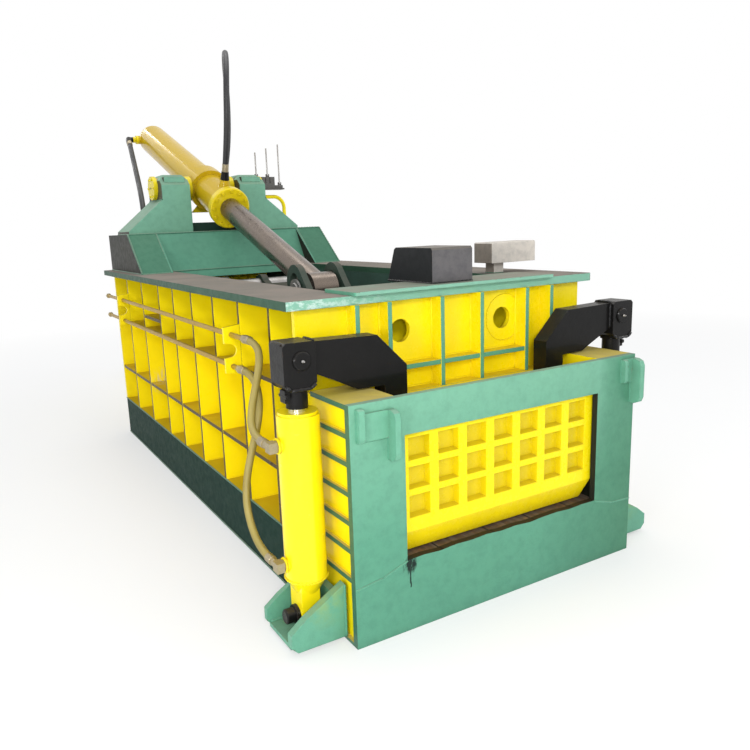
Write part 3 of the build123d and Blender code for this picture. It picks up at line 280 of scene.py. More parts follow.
# Colours
YELLOW = (0.905, 0.725, 0.005)
OCHRE = (0.540, 0.360, 0.008)
MINT = (0.098, 0.305, 0.200)
PALE_MINT = (0.200, 0.420, 0.310)
LIT_TOP_MINT = (0.158, 0.382, 0.262)
FAR_SHADE_MINT = (0.057, 0.205, 0.116)
MID_GREEN = (0.042, 0.135, 0.083)
DARK_GREEN = (0.012, 0.036, 0.028)
OLIVE_EDGE = (0.060, 0.034, 0.0006)
SEAM_BLACK = (0.004, 0.003, 0.002)
STEEL = (0.17, 0.155, 0.14)
CHROME = (0.78, 0.79, 0.81)
SCOURED_STEEL = (0.30, 0.27, 0.235)
MILL_SCALE = (0.075, 0.048, 0.028)
RUST = (0.145, 0.062, 0.022)
FRESH_RUST = (0.24, 0.105, 0.03)
OIL_FILM = (0.16, 0.12, 0.08)
DUST = (0.300, 0.262, 0.212)
BAY_DUST = (0.480, 0.310, 0.020)
WARM_DUST = (0.235, 0.200, 0.168)
HOUSING_DUST = (0.400, 0.315, 0.100)

# What a tone is multiplied by where paint is thin or thick, and as painted shade low down and in inner
# corners
THIN_PAINT = (1.22, 1.18, 1.14)
THICK_PAINT = (0.72, 0.74, 0.76)
LOW_SHADE = (0.62, 0.68, 0.70)
CORNER_SHADE = (0.45, 0.40, 0.34)

# Roughness of what lies on the paint or shows through it
DUST_ROUGH = 0.82
FILM_ROUGH = 0.7
CHIP_ROUGH = 0.6

# Sizes of the finish in metres
EDGE_RADIUS = 0.004
CHIP_RADIUS = 0.006
CORNER_REACH = 0.09
STIPPLE_DEPTH = 0.0012
PATCH_DEPTH = 0.0035


def coat(name, colour, layers=(), dust=0.0, sides=0.0, gloss=0.32, mottle=0.10, peel=0.25, wear=0.5,
         dust_colour=DUST, shade=0.0, corner_shade=0.42, specular=0.25, clear=0.0, lies=(0.45, 0.95), late=()):
    """Brushed-on machine paint: tone patches, roller stipple, dust on top, chipped edges, and painted shade
    in inner corners and at the foot.

    layers and late pair a mask with a colour, under the dust and over it. dust lies on faces whose normal
    rises as far as lies says, and sides is a film on every face. gloss is the roughness of clean paint,
    mottle its patches, peel its stipple and wear its chips. shade and the corner amount darken its foot and
    its inner corners as painted shade.
    """
    m = Paint(name)
    fine = m.noise(26.0, 4.0, 0.65)
    grain = m.noise(190.0, 2.0, 0.6)
    tone = colour
    for mask, second in layers:
        tone = m.mix(mask(m), tone, second)
    # Painted shade: the tone grows darker towards the foot
    if shade:
        tone = m.tint(m.spread(m.axis("z"), 1.0, 0.05, shade), tone, LOW_SHADE)
    tone = m.tint(m.spread(m.noise(1.7), 0.30, 0.72, mottle * 1.6), tone, THIN_PAINT)
    tone = m.tint(m.spread(fine, 0.42, 0.72, mottle * 2.0), tone, THICK_PAINT)
    # Painted shade in inner corners, from ambient occlusion, scaled by the corner amount
    tone = m.tint(m.both(m.corners(CORNER_REACH), corner_shade), tone, CORNER_SHADE)
    rough = m.mix_value(m.spread(fine, 0.35, 0.75), gloss, gloss + 0.16)
    if dust:
        patches = m.spread(m.noise(3.1, 5.0, 0.62, lean=0.4), 0.25, 0.62, 0.45 * dust)
        settled = m.spread(m.axis("z", "Normal"), *lies)
        lying = m.both(settled, m.math("ADD", patches, 0.55 * dust, clamp=True))
        grit = m.mix(m.spread(grain, 0.3, 0.7, 0.35), dust_colour, scaled(dust_colour, 0.72))
        tone = m.mix(lying, tone, grit)
        rough = m.mix_value(lying, rough, DUST_ROUGH)
    if sides:
        film = m.spread(m.noise(2.3, 4.0, 0.6), 0.35, 0.75, sides)
        tone = m.mix(film, tone, dust_colour)
        rough = m.mix_value(film, rough, FILM_ROUGH)
    if wear:
        chips = m.both(m.edges(CHIP_RADIUS), m.spread(m.noise(34.0, 4.0, 0.7), 0.57, 0.63), wear)
        tone = m.mix(chips, tone, m.mix(m.spread(fine, 0.4, 0.6), STEEL, RUST))
        rough = m.mix_value(chips, rough, CHIP_ROUGH)
    for mask, second in late:
        share = mask(m)
        tone = m.mix(share, tone, second)
        rough = m.mix_value(share, rough, FILM_ROUGH)
    normal = m.bump(grain, peel, STIPPLE_DEPTH, m.rounded(EDGE_RADIUS))
    normal = m.bump(fine, peel * 0.8, PATCH_DEPTH, normal)
    m.shader.inputs["Specular IOR Level"].default_value = specular
    m.shader.inputs["Coat Weight"].default_value = clear
    m.shader.inputs["Coat Roughness"].default_value = 0.05
    return m.finish(tone, rough, normal)


def shiny(name, colour, rough, scratch, dirt=0.3):
    """Ground or plated steel with fine drawn marks and a film of oil and dust."""
    m = Paint(name)
    marks = m.noise(150.0, 3.0, 0.6)
    film = m.spread(m.noise(4.5, 5.0, 0.65), 0.42, 0.75)
    tone = m.mix(m.spread(marks, 0.35, 0.7, 0.22), colour, scaled(colour, 0.6))
    tone = m.mix(m.both(film, dirt), tone, OIL_FILM)
    grit = m.mix_value(m.spread(marks, 0.3, 0.75), rough, rough + scratch)
    grit = m.mix_value(m.both(film, 0.6), grit, 0.6)
    metal = m.mix_value(m.both(film, dirt), 1.0, 0.35)
    return m.finish(tone, grit, m.bump(marks, 0.12, 0.0006), metal)


def rusty(name, base=RUST, polish=0.35, painted=None, late=()):
    """Bare wear plate: scoured patches between rust and mill scale.

    painted is a height above which paint is left, with its colour.
    """
    m = Paint(name)
    wide = m.noise(2.6, 5.0, 0.65, lean=0.6)
    fine = m.noise(42.0, 4.0, 0.7)
    drag = m.noise(30.0, 4.0, 0.6, (1.0, 0.06, 1.0))
    tone = m.mix(m.spread(wide, 0.35, 0.65), base, MILL_SCALE)
    tone = m.mix(m.spread(fine, 0.5, 0.72, 0.7), tone, FRESH_RUST)
    bare = m.both(m.spread(drag, 0.48, 0.62), m.spread(wide, 0.3, 0.6), polish)
    tone = m.mix(bare, tone, SCOURED_STEEL)
    if painted:
        height, colour = painted
        line = m.math("ADD", m.axis("z"), m.math("MULTIPLY", fine, 0.12))
        kept = m.spread(line, height, height + 0.03)
        bare = m.both(bare, m.math("SUBTRACT", 1.0, kept))
        tone = m.mix(kept, tone, m.mix(m.spread(wide, 0.3, 0.7), colour, scaled(colour, 1.7)))
    for mask, second in late:
        tone = m.mix(mask(m), tone, second)
    rough = m.mix_value(bare, 0.78, 0.38)
    return m.finish(tone, rough, m.bump(fine, 0.5, 0.003), m.both(bare, 0.8))


def rubber(name, colour, dusty, amount):
    """Hose cover with a dusty bloom and fine wrapped-cloth marks."""
    m = Paint(name)
    wide = m.spread(m.noise(7.0, 4.0, 0.6), 0.35, 0.7)
    cloth = m.noise(420.0, 2.0, 0.5)
    tone = m.mix(m.both(wide, amount), colour, dusty)
    tone = m.mix(m.spread(m.axis("z", "Normal"), 0.2, 0.9, amount), tone, dusty)
    return m.finish(tone, m.mix_value(wide, 0.42, 0.66), m.bump(cloth, 0.25, 0.0007))


# Where each colour goes, in metres of the row frame
RIB_EDGE = 0.776
WALL_PLATE = 0.56
PLATE_SIDE = 0.75
HOUSING_SIDE = 0.760
HOUSING_INNER = 0.556
HOUSING_SHADE_TOP = 0.90
HOOD_CENTRE = 0.567
RAIL_INNER = 0.545
RAIL_TOP = 0.27
MOUTH_SIDE = 0.53
MOUTH_HEIGHTS = (0.29, 0.83)
SILL_TOP = 0.36
BEVEL_TOP = 0.46
POCKET_DEPTHS = (-1.7855, -1.7550)
POCKET_HEIGHTS = (0.44, 0.80)
BARREL_SIDE = 0.146
STUB_START = 0.156
REAR_WALL_BACK = 2.0
DRIP_PLACE = 0.512
DRIP_HEIGHTS = (0.185, 0.295)
FLOOR_JOINTS = (-0.350, -0.080, 0.153, 0.385)
SCRAPED_BAY = at(-700, 2740, 572)
TORCH_NOTCH = at(-514, 0, 286)

# The misted spot on the right bracket, in mm behind the front plate; the left one mirrors it
BRACKET_FOOT = (850, 110, 215)


def mask_outer(sign, limit):
    """Faces that look outwards on one side, from a distance off the middle."""
    return lambda m: m.both(m.faces("x", sign), m.past("x", sign, limit))


def mask_inner(sign, limit):
    """Faces that look inwards on one side, up to a distance off the middle."""
    return lambda m: m.both(m.faces("x", -sign), m.before("x", sign, limit))


def mask_front(limit):
    """Faces that look forwards, from a depth on."""
    return lambda m: m.both(m.faces("y", -1), m.past("y", -1, limit))


# Faces that look left, which are painted darker as shade wherever this mask is used
def mask_left_shade(m):
    return m.faces("x", -1, 0.8)


def mask_back(m):
    return m.faces("y", 1, 0.8)


def mask_rear_face(m):
    """Outside of the rear wall."""
    return m.both(m.faces("y", 1), m.past("y", 1, REAR_WALL_BACK))


def mask_jamb_shade(m):
    """Inner faces of the gate's mouth, painted near black as shade."""
    inside = m.math("LESS_THAN", m.span("x"), MOUTH_SIDE)
    return m.both(m.faces_sideways(), inside, m.within("z", *MOUTH_HEIGHTS))


def mask_sill(m):
    """Torch-cut upper face of the plate under the mouth."""
    return m.both(m.faces("z", 1, 0.5), m.before("z", 1, SILL_TOP))


def mask_seams(m):
    """Joints between the plates of the mouth's floor."""
    lines = []
    for place in FLOOR_JOINTS:
        off = m.math("ABSOLUTE", m.math("SUBTRACT", m.axis("x"), place))
        lines.append(m.spread(off, 0.006, 0.003))
    return m.both(m.either(*lines), mask_sill(m))


def mask_scuff(m):
    """Pale scrapes and grit in one bay of the left wall."""
    marks = m.spread(m.noise(60.0, 5.0, 0.7, (1, 1, 0.25)), 0.46, 0.58)
    return m.both(m.near(SCRAPED_BAY, 0.115, 0.025), marks, m.past("x", -1, WALL_PLATE))


def mask_bevel_shade(m):
    """Lower face of the gate, painted darker as shade because it leans away from the light."""
    leaning = m.math("LESS_THAN", m.axis("z", "Normal"), -0.12)
    return m.both(leaning, m.before("z", 1, BEVEL_TOP))


def mask_pocket_shade(m):
    """Walls and bottoms of the gate's pockets, painted darker as shade in the recesses."""
    return m.both(m.within("y", *POCKET_DEPTHS), m.within("z", *POCKET_HEIGHTS))


def mask_wing_shade(m):
    """Sloped hood faces outside the centre, painted darker as shade."""
    return m.both(m.faces("y", -1, 0.5), m.math("GREATER_THAN", m.span("x"), HOOD_CENTRE))


def mask_stain(m):
    """Burnt spray and a run of soot at the torch notch in the mouth's lower left corner."""
    near = m.near(TORCH_NOTCH, 0.075, 0.006)
    burst = m.spread(m.both(near, m.noise(60.0, 4.0, 0.7, (1, 1, 0.35))), 0.25, 0.42)
    wander = m.both(m.math("SUBTRACT", m.noise(18.0), 0.5), 0.02)
    off = m.math("ABSOLUTE", m.math("ADD", m.math("ADD", m.axis("x"), DRIP_PLACE), wander))
    drip = m.both(m.spread(off, 0.0045, 0.002), m.within("z", *DRIP_HEIGHTS), m.faces("y", -1))
    return m.either(burst, drip)


def mask_overspray(m):
    """Yellow mist on the brackets beside the feet of the lift cylinders."""
    x, y, z = BRACKET_FOOT
    near = m.either(*(m.near(at(side * x, y, z), 0.150, 0.030) for side in BOTH_SIDES))
    return m.both(near, m.spread(m.noise(26.0, 5.0, 0.65), 0.38, 0.66), 0.4)


def mask_shade_behind_gate(m):
    """Unlit inner faces of the housings beside the gate, painted near black as shade."""
    inside = m.math("LESS_THAN", m.span("x"), HOUSING_INNER)
    return m.both(m.faces_sideways(), inside, m.before("z", 1, HOUSING_SHADE_TOP))


def mask_bay_floors(m):
    """Upper faces of the base rails under the side bays."""
    outside = m.math("GREATER_THAN", m.span("x"), RAIL_INNER)
    return m.both(m.faces("z", 1, 0.7), outside, m.past("z", 1, RAIL_TOP))


def mask_stubs(m):
    """Trunnion stubs outside the barrel."""
    return m.spread(m.span("x"), BARREL_SIDE, STUB_START)


def mask_far_shade(m):
    """Share of the front plate's right end, painted darker as the light falling off there."""
    return m.spread(m.axis("x"), 0.15, 0.80, 0.90)


def mask_lit_top(m):
    """Share of the front plate's upper part, painted paler as light from above, less so on the far column."""
    rise = m.spread(m.axis("z"), 0.42, 0.92)
    far = m.spread(m.axis("x"), 0.53, 0.60, 0.65)
    return m.math("SUBTRACT", rise, m.both(rise, far))


def mask_bared(m):
    """Pale scuffs along the flange's front edge, strongest at the left corner."""
    from_corner = m.spread(m.axis("x"), -0.30, -0.83)
    rubbed = m.spread(m.noise(46.0, 5.0, 0.75, (0.5, 1, 1)), 0.46, 0.56)
    return m.both(m.faces("y", -1), from_corner, rubbed)


def side_wall(name, sign, late=()):
    """Yellow ribbed wall with olive rib edges and a dark green inner face."""
    layers = [(mask_outer(sign, RIB_EDGE), OLIVE_EDGE), (mask_inner(sign, WALL_PLATE), DARK_GREEN)]
    return coat(name, YELLOW, layers, dust=0.85, dust_colour=BAY_DUST, gloss=0.26, mottle=0.05, corner_shade=0.16,
                wear=0.2, specular=0.12, late=late)


# The finish of each node
made = {
    "left_side_wall": side_wall("left_wall_paint", -1, [(mask_scuff, (0.60, 0.53, 0.36))]),
    "right_side_wall": side_wall("right_wall_paint", 1),
    "front_wall": coat(
        "front_wall_paint", YELLOW, [(mask_front(1.50), MINT), (mask_back, DARK_GREEN)], dust=0.5,
        dust_colour=BAY_DUST, gloss=0.22, mottle=0.05, corner_shade=0.16, wear=0.3, specular=0.3),
    "rear_wall": coat(
        "rear_wall_paint", YELLOW, [(mask_rear_face, OLIVE_EDGE)], dust=0.8, dust_colour=BAY_DUST, gloss=0.28,
        corner_shade=0.25),
    # Flange: its left side face painted darker as shade
    "top_flange": coat(
        "flange_paint", DARK_GREEN,
        [(mask_front(1.45), PALE_MINT), (mask_left_shade, (0.030, 0.078, 0.048)), (mask_bared, (0.52, 0.66, 0.60))],
        dust=1.0, dust_colour=WARM_DUST, gloss=0.4, mottle=0.16, wear=0.6, specular=0.15),
    "front_cap_plate": coat(
        "cap_plate_paint", MINT, [(mask_front(1.4), PALE_MINT)], dust=0.95, dust_colour=(0.23, 0.205, 0.165),
        gloss=0.34, mottle=0.18, wear=0.9),
    # Painted light: right end and foot darker, top paler; left side face darker green as painted shade
    "front_plate": coat(
        "front_plate_paint", MINT,
        [(mask_far_shade, FAR_SHADE_MINT), (mask_lit_top, LIT_TOP_MINT), (mask_outer(-1, PLATE_SIDE), MID_GREEN)],
        dust=0.7, dust_colour=(0.20, 0.24, 0.17), gloss=0.30, mottle=0.26, peel=0.55, wear=0.8, shade=0.4,
        # Mouth jambs painted near black as shade
        late=[(mask_jamb_shade, (0.012, 0.014, 0.010)), (mask_sill, (0.024, 0.016, 0.007)),
              (mask_seams, SEAM_BLACK), (mask_stain, (0.008, 0.018, 0.014))]),
    "front_lugs": coat(
        "lug_paint", (0.142, 0.368, 0.250), dust=0.3, gloss=0.30, mottle=0.22, peel=0.5, wear=0.7),
    "lower_brackets": coat(
        "bracket_paint", (0.115, 0.330, 0.225), [(mask_overspray, (0.42, 0.52, 0.10))], dust=0.4,
        dust_colour=(0.22, 0.25, 0.16), gloss=0.34, mottle=0.22, peel=0.45, wear=0.8),
    # Base: the bay floors' yellow paint is darkened partly as painted shade in the bays
    "base_frame": coat(
        "base_paint", (0.0095, 0.032, 0.023), dust=0.45, dust_colour=(0.090, 0.080, 0.060), sides=0.02,
        gloss=0.46, mottle=0.2, wear=0.5, specular=0.04, late=[(mask_bay_floors, (0.55, 0.40, 0.012))]),
    # Hood: its left end and its sloped wings painted darker as shade
    "hood": coat(
        "hood_paint", (0.085, 0.245, 0.165),
        [(mask_left_shade, (0.020, 0.021, 0.016)), (mask_wing_shade, (0.046, 0.155, 0.095))],
        dust=0.75, dust_colour=(0.19, 0.165, 0.125), sides=0.05, gloss=0.42, mottle=0.24, wear=0.5,
        specular=0.12, lies=(0.85, 0.97)),
    # Posts: faces that look left painted darker as shade
    "trunnion_posts": coat(
        "post_paint", (0.170, 0.385, 0.275), [(mask_left_shade, (0.050, 0.052, 0.038))], dust=0.8,
        dust_colour=(0.16, 0.18, 0.12), sides=0.05, gloss=0.40, mottle=0.24, wear=0.6, specular=0.2),
    "post_tie_plate": coat(
        "tie_plate_paint", (0.018, 0.060, 0.042), dust=0.5, gloss=0.42, mottle=0.2, wear=0.5),
    # Housings: inner faces beside the gate painted near black as shade
    "gate_housings": coat(
        "housing_paint", YELLOW,
        [(mask_outer(-1, HOUSING_SIDE), MID_GREEN), (mask_outer(1, HOUSING_SIDE), MID_GREEN),
         (mask_shade_behind_gate, (0.010, 0.012, 0.008))],
        dust=0.9, dust_colour=HOUSING_DUST, gloss=0.28, mottle=0.06, corner_shade=0.25),
    # Gate: pockets and the lower leaning face painted darker as shade
    "gate": coat(
        "gate_paint", YELLOW, [(mask_pocket_shade, (0.70, 0.54, 0.004)), (mask_bevel_shade, (0.78, 0.60, 0.004))],
        dust=0.3, dust_colour=BAY_DUST, gloss=0.2, mottle=0.05, wear=0.2, corner_shade=0.45),
    "lift_barrels": coat(
        "lift_barrel_paint", YELLOW, dust=0.25, dust_colour=BAY_DUST, gloss=0.14, mottle=0.04, peel=0.06,
        wear=0.15, corner_shade=0.25, clear=0.3),
    "lid": coat(
        "lid_paint", (0.020, 0.045, 0.033), dust=0.8, dust_colour=(0.10, 0.085, 0.065), sides=0.3, gloss=0.45,
        mottle=0.2, wear=0.9),
    "lid_cylinder_barrel": coat(
        "lid_barrel_paint", OCHRE, [(mask_stubs, (0.78, 0.62, 0.008))], dust=0.08,
        dust_colour=(0.28, 0.18, 0.05), gloss=0.13, mottle=0.14, peel=0.03, wear=0.2, clear=0.08,
        specular=0.16),
    "lid_cylinder_head": coat(
        "lid_head_paint", (0.74, 0.57, 0.008), dust=0.2, dust_colour=BAY_DUST, gloss=0.2, mottle=0.1,
        wear=0.4, clear=0.3),
    "trunnion_caps": coat(
        "cap_paint", (0.76, 0.62, 0.012), dust=0.3, dust_colour=BAY_DUST, gloss=0.22, wear=0.4),
    "hinge_bearings": coat("bearing_paint", (0.70, 0.56, 0.02), dust=0.6, gloss=0.3, wear=0.5),
    "main_cylinder_barrel": coat(
        "main_barrel_paint", (0.78, 0.62, 0.012), dust=0.7, dust_colour=BAY_DUST, gloss=0.2, mottle=0.1,
        peel=0.10, wear=0.3),
    "line_brackets": coat(
        "clip_paint", YELLOW, dust=0.4, dust_colour=BAY_DUST, gloss=0.26, wear=0.4),
    "return_pipe": coat(
        "pipe_paint", YELLOW, dust=0.3, dust_colour=BAY_DUST, gloss=0.22, peel=0.1, wear=0.3),
    "pressure_lines": coat(
        "line_paint", (0.36, 0.215, 0.016), dust=0.5, dust_colour=(0.40, 0.29, 0.08), gloss=0.28, wear=0.3),
    # Stop block: black paint, its front face painted grey as a sheen
    "stop_block": coat(
        "block_paint", (0.008, 0.009, 0.010), [(mask_front(1.30), (0.110, 0.105, 0.108))], dust=0.9,
        dust_colour=(0.300, 0.270, 0.235), gloss=0.34, mottle=0.5, wear=0.5, specular=0.2),
    "valve_bracket": coat("valve_plate_paint", (0.09, 0.085, 0.080), dust=0.3, gloss=0.4, wear=0.5),
    "valve_block": coat("valve_paint", (0.11, 0.105, 0.10), dust=0.3, wear=0.5),
    # Sensor box: faces that look left painted darker as shade
    "sensor_box": coat(
        "box_paint", (0.560, 0.525, 0.475), [(mask_left_shade, (0.20, 0.17, 0.14))], dust=0.7,
        dust_colour=(0.50, 0.46, 0.40), sides=0.3, gloss=0.5, mottle=0.45, wear=0.4),
    "lift_rods": shiny("lift_rod_chrome", CHROME, 0.07, 0.1),
    "lid_cylinder_rod": shiny("lid_rod_chrome", (0.200, 0.165, 0.140), 0.15, 0.2, dirt=0.6),
    "main_cylinder_rod": shiny("main_rod_chrome", CHROME, 0.08, 0.1),
    "trunnion_bushings": shiny("bushing_bronze", (0.55, 0.38, 0.16), 0.3, 0.3),
    "ram_shoes": shiny("shoe_bronze", (0.52, 0.36, 0.15), 0.35, 0.3),
    "floor_liners": rusty("floor_liner_rust"),
    "side_liners": rusty(
        "side_liner_rust", (0.10, 0.06, 0.03), polish=0.6, painted=(0.95, (0.018, 0.050, 0.036))),
    "gate_sill": rusty("sill_rust", (0.075, 0.045, 0.020), late=[(mask_seams, SEAM_BLACK)]),
    "gate_guides": rusty("guide_rust", (0.07, 0.05, 0.03)),
    "ram_body": rusty("ram_rust", (0.12, 0.07, 0.035), polish=0.55),
}
arm_paint = coat("arm_paint", (0.0052, 0.0052, 0.0054), dust=0.3, dust_colour=(0.110, 0.096, 0.078),
                 sides=0.05, gloss=0.28, mottle=0.3, peel=0.6, wear=0.2, specular=0.10, clear=0.15)
bright_steel = shiny("machined_steel", (0.36, 0.35, 0.34), 0.28, 0.3, dirt=0.5)
zinc = shiny("fitting_zinc", (0.50, 0.43, 0.27), 0.3, 0.3, dirt=0.5)
sleeve_zinc = shiny("sleeve_zinc", (0.42, 0.36, 0.24), 0.26, 0.3, dirt=0.6)
brown_hose = rubber("brown_hose_cover", (0.225, 0.170, 0.032), (0.40, 0.33, 0.10), 0.5)
black_hose = rubber("black_hose_cover", (0.010, 0.010, 0.012), (0.09, 0.085, 0.08), 0.16)
SHARED = (
    (arm_paint, ("left_arm", "right_arm", "arm_pins", "rod_ends", "foot_pins", "lid_hose_fittings")),
    (made["lift_barrels"], ("lift_glands",)),
    (bright_steel, ("lid_hinge_shaft", "hinge_bearing_bolts", "lid_rod_pin", "main_cylinder_gland",
                    "main_flange_bolts", "valve_lever_1", "valve_lever_2", "valve_lever_3")),
    (zinc, ("line_fittings", "hood_fittings")),
    (brown_hose, ("upper_lift_hose", "lower_lift_hose")),
    (black_hose, ("tail_hose", "head_hose")),
)
for material, names in SHARED:
    for name in names:
        made[name] = material

for name, part in nodes.items():
    part.data.materials.clear()
    part.data.materials.append(made[name])


# Hoses

# Thicknesses in metres
LIFT_HOSE = 0.032
LID_HOSE = 0.044
TUBE_SIDES = 20


def from_mm(*points):
    return [at(*p) for p in points]


def route(name, points):
    """The hose's centreline as a NURBS curve."""
    data = bpy.data.curves.new(name, "CURVE")
    data.dimensions = "3D"
    spline = data.splines.new("NURBS")
    spline.points.add(len(points) - 1)
    for point, place in zip(spline.points, points):
        point.co = (*place, 1)
    spline.order_u = 3
    spline.use_endpoint_u = True
    data.resolution_u = 12
    return link(name, data)


def read_line(curve):
    """The points of the curve's own line."""
    bpy.context.view_layer.update()
    line = bpy.data.meshes.new_from_object(curve.evaluated_get(bpy.context.evaluated_depsgraph_get()))
    points = [v.co.copy() for v in line.vertices]
    bpy.data.meshes.remove(line)
    return points


def link_mesh(name, vertices, faces, material, smooth=True):
    data = bpy.data.meshes.new(name)
    data.from_pydata([tuple(v) for v in vertices], [], faces)
    data.update()
    for face in data.polygons:
        face.use_smooth = smooth
    data.materials.append(material)
    return link(name, data)


def sweep(points, radii, sides):
    """Rings of a tube along points, with parallel-carried frames and closed ends."""
    vertices = []
    faces = []
    ahead = (points[1] - points[0]).normalized()
    side = ahead.orthogonal().normalized()
    for i, (point, radius) in enumerate(zip(points, radii)):
        before = points[max(i - 1, 0)]
        after = points[min(i + 1, len(points) - 1)]
        now = (after - before).normalized()
        side = (side - now * side.dot(now)).normalized()
        over = now.cross(side)
        for k in range(sides):
            turn = 2 * math.pi * k / sides
            vertices.append(point + (side * math.cos(turn) + over * math.sin(turn)) * radius)
        if i:
            base = (i - 1) * sides
            for k in range(sides):
                nxt = (k + 1) % sides
                faces.append((base + k, base + nxt, base + sides + nxt, base + sides + k))
    faces.append(tuple(reversed(range(sides))))
    last = (len(points) - 1) * sides
    faces.append(tuple(range(last, last + sides)))
    return vertices, faces


# Ends and guide points in mm
TAIL_PORT = (-240.5, 4988.0, 2473.7)
TAIL_AIM = (-312, 4577, 2222)
TAIL_SOCKET = 62
tail_reach = math.dist(TAIL_PORT, TAIL_AIM)
TAIL_START = tuple(a + TAIL_SOCKET * (b - a) / tail_reach for a, b in zip(TAIL_PORT, TAIL_AIM))
TAIL_END = (-455, 3822, 1432)
HEAD_START = (0, 3105.7, 2026.9)
HEAD_AIM = (0, 3008.1, 2289.3)
HEAD_END = (221, 3822, 1432)
HOSES = {
    "upper_lift_hose": (LIFT_HOSE, (
        (-825, 785, 1120), (-825, 670, 1120), (-852, 569, 1058), (-946, 491, 860), (-976, 390, 798),
        (-976, 275, 798))),
    "lower_lift_hose": (LIFT_HOSE, (
        (-825, 870, 970), (-825, 755, 970), (-832, 655, 902), (-865, 600, 795), (-935, 575, 625),
        (-968, 555, 490), (-975, 494, 380), (-976, 390, 315), (-976, 275, 315))),
    "tail_hose": (LID_HOSE, (
        TAIL_START, TAIL_AIM, (-380, 4202, 2007), (-420, 3992, 1872), (-445, 3872, 1732), (-455, 3822, 1572),
        TAIL_END)),
    "head_hose": (LID_HOSE, (
        HEAD_START, HEAD_AIM, (8, 2982, 2590), (50, 3055, 2800), (130, 3270, 2925), (225, 3540, 2925),
        (300, 3735, 2790), (325, 3800, 2590), (318, 3818, 2370), (290, 3822, 2180), (250, 3820, 2010),
        (226, 3822, 1840), (221, 3822, 1630), HEAD_END)),
}
for name, (thick, places) in HOSES.items():
    points = from_mm(*places)
    curve = route(name + "_line", points)
    line = read_line(curve)
    if name in ("tail_hose", "head_hose"):
        bpy.data.objects.remove(curve)
        vertices, faces = sweep(line, [thick / 2] * len(line), TUBE_SIDES)
        hose = link_mesh(name + "_cover", vertices, faces, made[name])
        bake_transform(hose)
    else:
        curve.name = name + "_cover"
        curve.data.bevel_depth = thick / 2
        curve.data.bevel_resolution = 5
        curve.data.use_fill_caps = True
        curve.data.materials.append(made[name])
        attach(curve, "frame")
        hose = curve
    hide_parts(name)


# Weld beads: runs are points in mm, the pitch and the radii are in metres
BEAD_PITCH = 0.012
BEAD_SIDES = 7
RING_STEPS = 40


def bead(runs, radius):
    """Rippled beads along straight runs, as one mesh's vertices and faces."""
    vertices = []
    faces = []
    for run in runs:
        turns = from_mm(*run)
        for start, end in zip(turns, turns[1:]):
            steps = max(2, 2 * int((end - start).length / BEAD_PITCH / 2))
            points = [start.lerp(end, i / steps) for i in range(steps + 1)]
            radii = [radius * (1.0 if i % 2 else 0.74) * random.uniform(0.93, 1.07) for i in range(steps + 1)]
            got, sides = sweep(points, radii, BEAD_SIDES)
            base = len(vertices)
            vertices.extend(got)
            faces.extend(tuple(base + k for k in side) for side in sides)
    return vertices, faces


def mirrored(runs):
    """The runs on the left side, then the same on the right."""
    return [[(side * x, y, z) for x, y, z in run] for side in BOTH_SIDES for run in runs]


def ring(centre, axis, radius):
    """Points of a circle about an axis given as x, y or z."""
    points = []
    for k in range(RING_STEPS + 1):
        turn = 2 * math.pi * k / RING_STEPS
        a = radius * math.cos(turn)
        b = radius * math.sin(turn)
        shift = {"x": (0, a, b), "y": (a, 0, b), "z": (a, b, 0)}[axis]
        points.append(tuple(c + s for c, s in zip(centre, shift)))
    return points


def outline(x_a, x_b, y_a, y_b, z):
    return [(x_a, y_a, z), (x_b, y_a, z), (x_b, y_b, z), (x_a, y_b, z), (x_a, y_a, z)]


def plate_runs():
    """Front plate: the joints beside the mouth and the feet of the lugs."""
    return [[(-763, 0, 246), (-640, 0, 262), (-524, 0, 302)], [(524, 0, 300), (640, 0, 268), (763, 0, 262)],
            [(-600, 0, 735), (-600, 0, 930)], [(-575, 0, 735), (-575, 0, 930)],
            [(-735, 0, 823), (-735, 0, 950)], [(-710, 0, 823), (-600, 0, 823)],
            [(735, 0, 741), (735, 0, 950)], [(670, 0, 840), (670, 0, 950)], [(690, 0, 840), (735, 0, 840)]]


def bracket_runs():
    """Lower brackets: their cheeks and floors on the housings."""
    housing, floor = 764, 34
    runs = [[(housing, y, 16), (housing, y, 236)] for y in (85, 120, 320, 345)]
    runs += [[(housing + 4, y, floor), (985, y, floor)] for y in (120, 320)]
    return mirrored(runs)


RIBS = (625, 981.25, 1337.5, 1693.75, 2050, 2373, 2798, 3223)
RIB_FACE = 11
RIB_INNER, RIB_OUTER = 550, 780
UNDER_FLANGE, ON_BASE = 1283, 295
WALL_ENDS = (395, 3623)
WALL_BEAD = 546
BAY_LEVELS = ((296, 546), (568, 939), (961, 1281))
BEAM_FACE = 369
TRUNNION = (3540, 1935)
LIFT_CYLINDER = (860, 220)


def wall_runs():
    """Side walls: both faces of each rib on the wall, the flange and the base."""
    runs = []
    for rib in RIBS:
        for y in (rib - RIB_FACE, rib + RIB_FACE):
            runs += [[(WALL_BEAD, y, low), (WALL_BEAD, y, high)] for low, high in BAY_LEVELS]
            runs += [[(RIB_INNER, y, z), (RIB_OUTER, y, z)] for z in (UNDER_FLANGE, ON_BASE)]
    return mirrored(runs)


def rail_runs():
    """Side walls: both faces of the long rails, from rib to rib."""
    front_end, rear_end = WALL_ENDS
    gap = RIB_FACE + 1
    return mirrored([[(WALL_BEAD, front + gap, z), (WALL_BEAD, rear - gap, z)]
                     for front, rear in zip((front_end,) + RIBS, RIBS + (rear_end,))
                     for z in (547, 567, 940, 960)])


